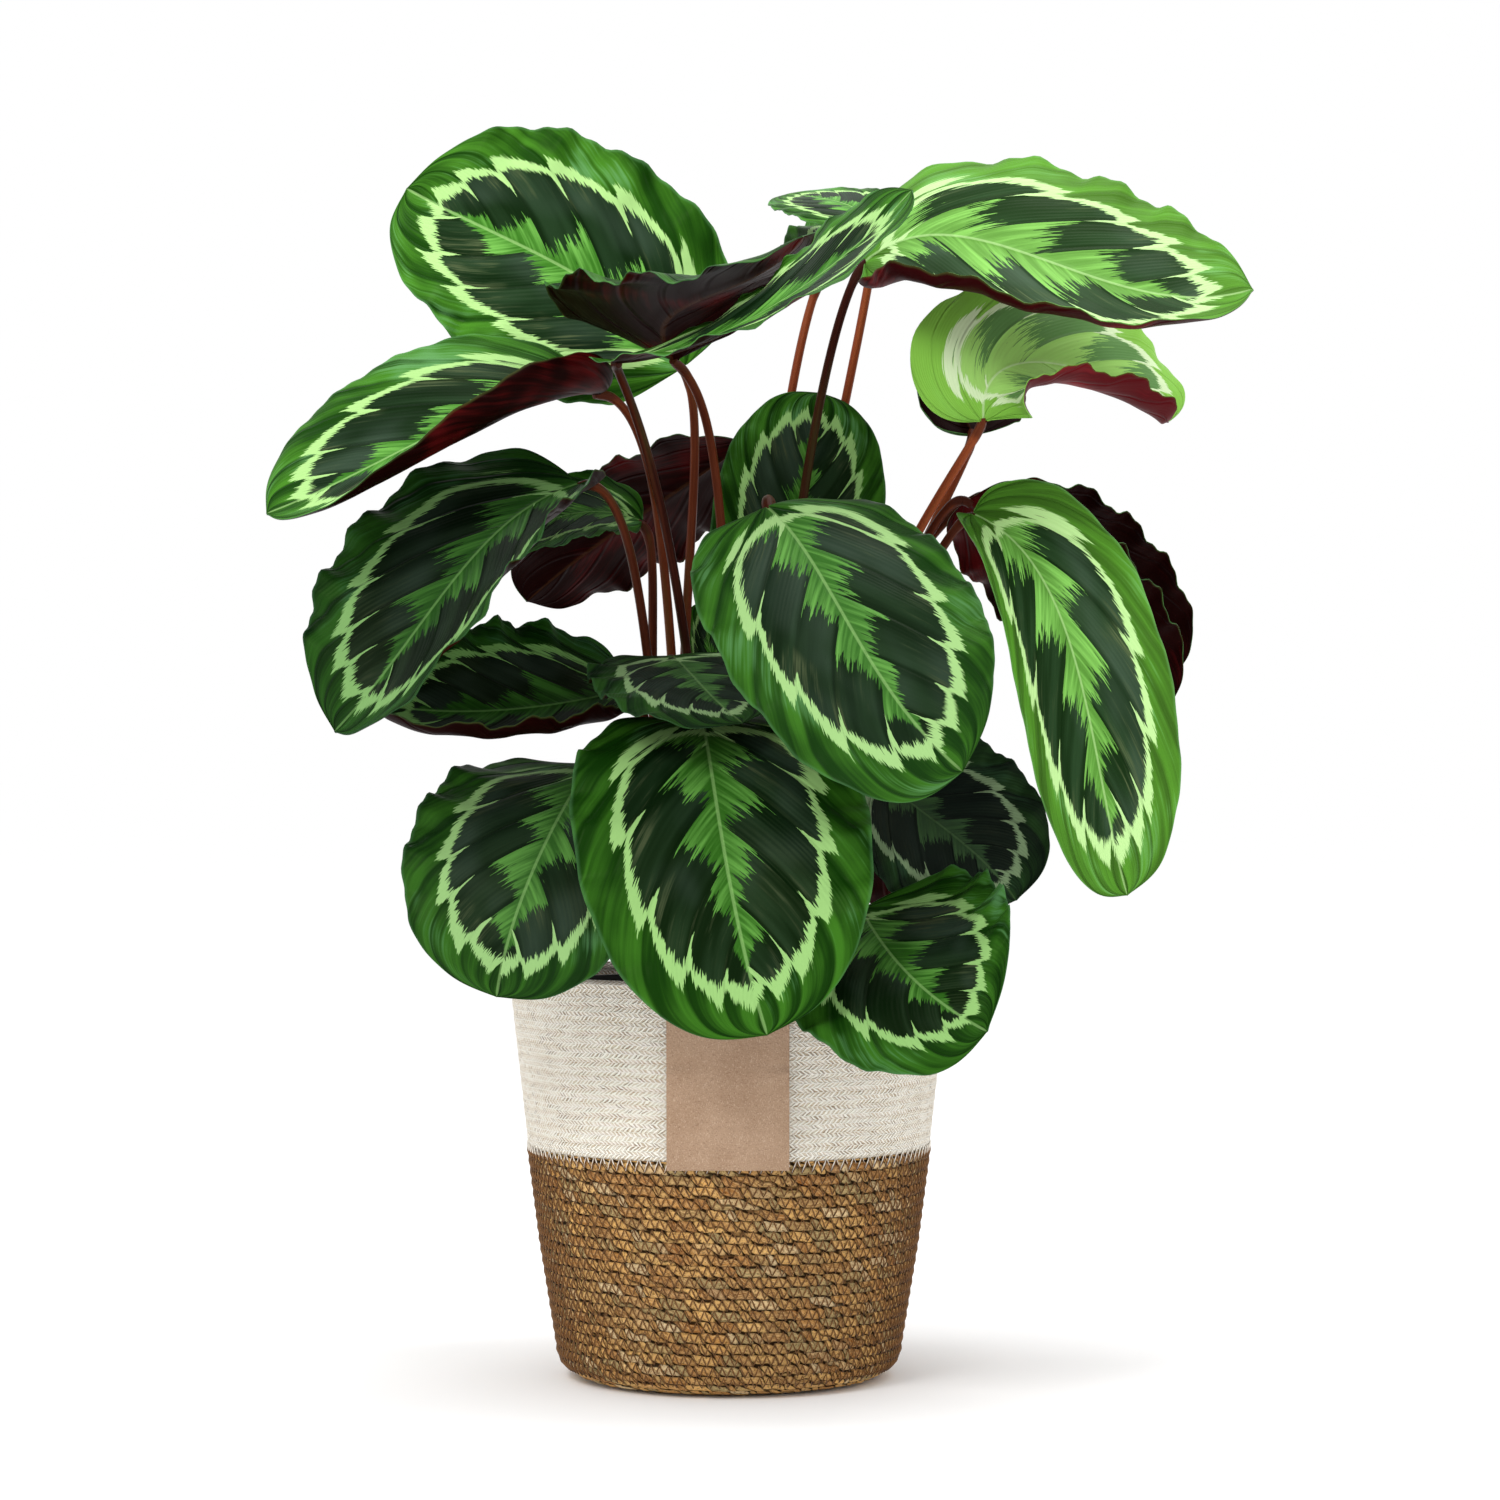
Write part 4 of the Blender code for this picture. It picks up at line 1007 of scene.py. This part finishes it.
def lumps(x, y, size, rng):
    """Smooth random heights from 0 to 1: random numbers on a grid, blended between its points
    by 3 t^2 - 2 t^3."""
    cells = 64
    table = rng.uniform(0, 1, (cells, cells))
    column = x / size + cells / 2
    row = y / size + cells / 2
    i = np.floor(column).astype(int)
    j = np.floor(row).astype(int)
    s = column - i
    t = row - j
    s = s * s * (3 - 2 * s)
    t = t * t * (3 - 2 * t)
    i = i % cells
    j = j % cells
    k = (i + 1) % cells
    m = (j + 1) % cells
    low = table[i, j] * (1 - s) + table[k, j] * s
    high = table[i, m] * (1 - s) + table[k, m] * s
    return low * (1 - t) + high * t


def soil_height(radius):
    """The soil's level: flat to the crown's edge, then down to the pot's wall."""
    return np.interp(radius, [0, SOIL_CROWN_RADIUS, 84, 102],
                     [SOIL_CROWN, SOIL_CROWN, SOIL_EDGE + 6, SOIL_EDGE])


def make_soil(finish):
    """The soil: a turned body with a crumbly top, and loose crumbs that lie on it."""
    columns = 144
    slope = (POT_TOP_RADIUS - POT_BOTTOM_RADIUS) / (POT_TOP - POT_FLOOR)
    side_low = POT_BOTTOM_RADIUS - 2
    side_high = POT_BOTTOM_RADIUS + slope * (SOIL_EDGE - POT_FLOOR) - 3.5
    circles = np.linspace(side_high, 2, 52)
    radius = np.concatenate([[2, side_low, (side_low + side_high) / 2], circles])
    height = np.concatenate([[POT_FLOOR + 2, POT_FLOOR + 2, (POT_FLOOR + SOIL_EDGE) / 2],
                             soil_height(circles)])
    points = turned(radius[:, None], height[:, None], around(columns))
    rng = np.random.default_rng(5)
    x, y = points[:, :, 0], points[:, :, 1]
    rough = 2.6 * lumps(x, y, 9.0, rng) + 1.6 * lumps(x, y, 4.0, rng) - 2.1
    rough[:3] = 0
    points[:, :, 2] += rough
    piece = turned_piece("soil_bed", points, np.zeros((len(radius), columns + 1, 2)), finish,
                         sharp=0)
    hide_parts("potting_soil")
    corners = unit(np.array([(1, 0, 0), (-1, 0, 0), (0, 1, 0), (0, -1, 0), (0, 0, 1), (0, 0, -1)]))
    faces = np.array([(0, 2, 4), (2, 1, 4), (1, 3, 4), (3, 0, 4), (2, 0, 5), (1, 2, 5), (3, 1, 5),
                      (0, 3, 5)])
    far = 98 * np.sqrt(rng.uniform(0, 1, CRUMBS))
    way = rng.uniform(0, TURN, CRUMBS)
    size = rng.uniform(0.9, 2.9, CRUMBS)
    shape = corners * rng.uniform(0.6, 1.3, (CRUMBS, 6, 3)) * size[:, None, None]
    spin = rng.uniform(0, TURN, CRUMBS)[:, None]
    x, y, z = np.moveaxis(shape, 2, 0)
    shape = spread(x * np.cos(spin) - y * np.sin(spin), x * np.sin(spin) + y * np.cos(spin), z)
    centre = turned(far, soil_height(far) + 0.3 * size, way)
    triangles = (faces + 6 * np.arange(CRUMBS)[:, None, None]).reshape(-1, 3)
    crumbs = make_piece("soil_crumbs", (shape + centre[:, None, :]).reshape(-1, 3), NO_QUADS,
                        triangles, list(np.zeros((len(triangles), 3, 2))), [finish], sharp=30)


def make_pot(finish):
    """The nursery pot: a thin tapered wall with a rolled rim."""
    rim_low = POT_TOP - POT_RIM_DROP
    inner_low = POT_FLOOR + POT_WALL
    profile = np.array([(3, POT_FLOOR), (POT_BOTTOM_RADIUS - 3, POT_FLOOR),
                        (POT_BOTTOM_RADIUS, POT_FLOOR + 3), (POT_TOP_RADIUS - 1, rim_low),
                        (POT_RIM_RADIUS - 0.6, rim_low), (POT_RIM_RADIUS, rim_low + 0.6),
                        (POT_RIM_RADIUS, POT_TOP - 1.2), (POT_RIM_RADIUS - 1.2, POT_TOP),
                        (POT_TOP_RADIUS - 0.6, POT_TOP), (POT_TOP_RADIUS - POT_WALL, POT_TOP - 0.8),
                        (POT_BOTTOM_RADIUS - POT_WALL, inner_low), (3, inner_low)])
    columns = 96
    points = turned(profile[:, :1], profile[:, 1:], around(columns))
    pattern = np.zeros((len(profile), columns + 1, 2))
    piece = turned_piece("nursery_pot_plastic", points, pattern, finish, sharp=35)
    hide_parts("nursery_pot")


def make_basket():
    """The basket's ropes, its sewing threads, and the stitches at the join."""
    make_seagrass(seagrass_finish())
    make_cotton(cotton_finish())
    rows = [(CORNER_RADIUS + SEAGRASS_PITCH * k, CORNER_RADIUS + SEAGRASS_PITCH * (k + 1))
            for k in range(-2, SEAGRASS_ROWS)]
    brown = thread_finish("brown_thread", (0.09, 0.036, 0.009), (0.26, 0.12, 0.035))
    make_threads("basket_brown_threads", zigzag(rows, 0.5, 0.6), brown)
    cream = thread_finish("cream_thread", (0.84, 0.76, 0.64), (0.98, 0.94, 0.86))
    join = [(JOIN_HEIGHT - CREAM_BELOW, JOIN_HEIGHT + CREAM_ABOVE)]
    make_threads("basket_cream_threads", zigzag(join, 0.42, 0.35), cream)


def make_leaves():
    """Every leaf, from the table."""
    upper = leaf_upper_finish()
    under = leaf_under_finish()
    stalk = stem_finish()
    for number, item in enumerate(LEAVES):
        make_blade(item, number, upper, under)
        make_stem(item, number, stalk)


def make_studio():
    """A pale floor, soft light from above and from the front left, and a pale surround."""
    half = 40.0
    mesh = bpy.data.meshes.new("studio_floor")
    mesh.from_pydata([(-half, -half, 0), (half, -half, 0), (half, half, 0), (-half, half, 0)], [],
                     [(0, 1, 2, 3)])
    floor = stand("studio_floor", mesh)
    paint = Finish("studio_white", roughness=1.0, specular=0.0)
    paint.colour((1.0, 1.0, 1.0))
    mesh.materials.append(paint.material)
    floor.location.z = -0.0005
    world = bpy.data.worlds.new("studio")
    bpy.context.scene.world = world
    world.use_nodes = True
    sky = world.node_tree.nodes["Background"]
    sky.inputs["Color"].default_value = (1.0, 1.0, 1.0, 1.0)
    sky.inputs["Strength"].default_value = 1.0
    for name, place, size, power in (("key", (-1.1, -1.9, 2.2), 0.9, 26.0),
                                     ("top", (0.5, 0.0, 2.4), 1.0, 16.0)):
        lamp = bpy.data.lights.new(name, "AREA")
        lamp.size = size
        lamp.energy = power
        light = stand(name, lamp)
        light.location = place
        x, y, z = LIGHT_AIM - np.array(place)
        light.rotation_euler = (math.atan2(math.hypot(x, y), -z), 0, math.atan2(-x, y))


def make_camera():
    """A level camera in front of the plant, with the photograph's field of view."""
    data = bpy.data.cameras.new("camera")
    data.lens = CAMERA_LENS
    data.sensor_width = CAMERA_SENSOR
    camera = stand("camera", data)
    camera.location = CAMERA_PLACE
    camera.rotation_euler = (math.radians(90), 0, 0)
    bpy.context.scene.camera = camera


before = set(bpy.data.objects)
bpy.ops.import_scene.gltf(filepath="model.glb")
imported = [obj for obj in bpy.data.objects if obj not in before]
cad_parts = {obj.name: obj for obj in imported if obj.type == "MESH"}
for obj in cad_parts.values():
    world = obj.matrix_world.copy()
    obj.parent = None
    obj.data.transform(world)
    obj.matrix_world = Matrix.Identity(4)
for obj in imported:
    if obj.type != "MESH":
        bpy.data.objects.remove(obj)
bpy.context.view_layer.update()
make_camera()
make_studio()
make_basket()
make_tag(kraft_finish())
make_pot(plastic_finish())
make_soil(soil_finish())
make_leaves()
bpy.context.scene.view_settings.view_transform = "Standard"
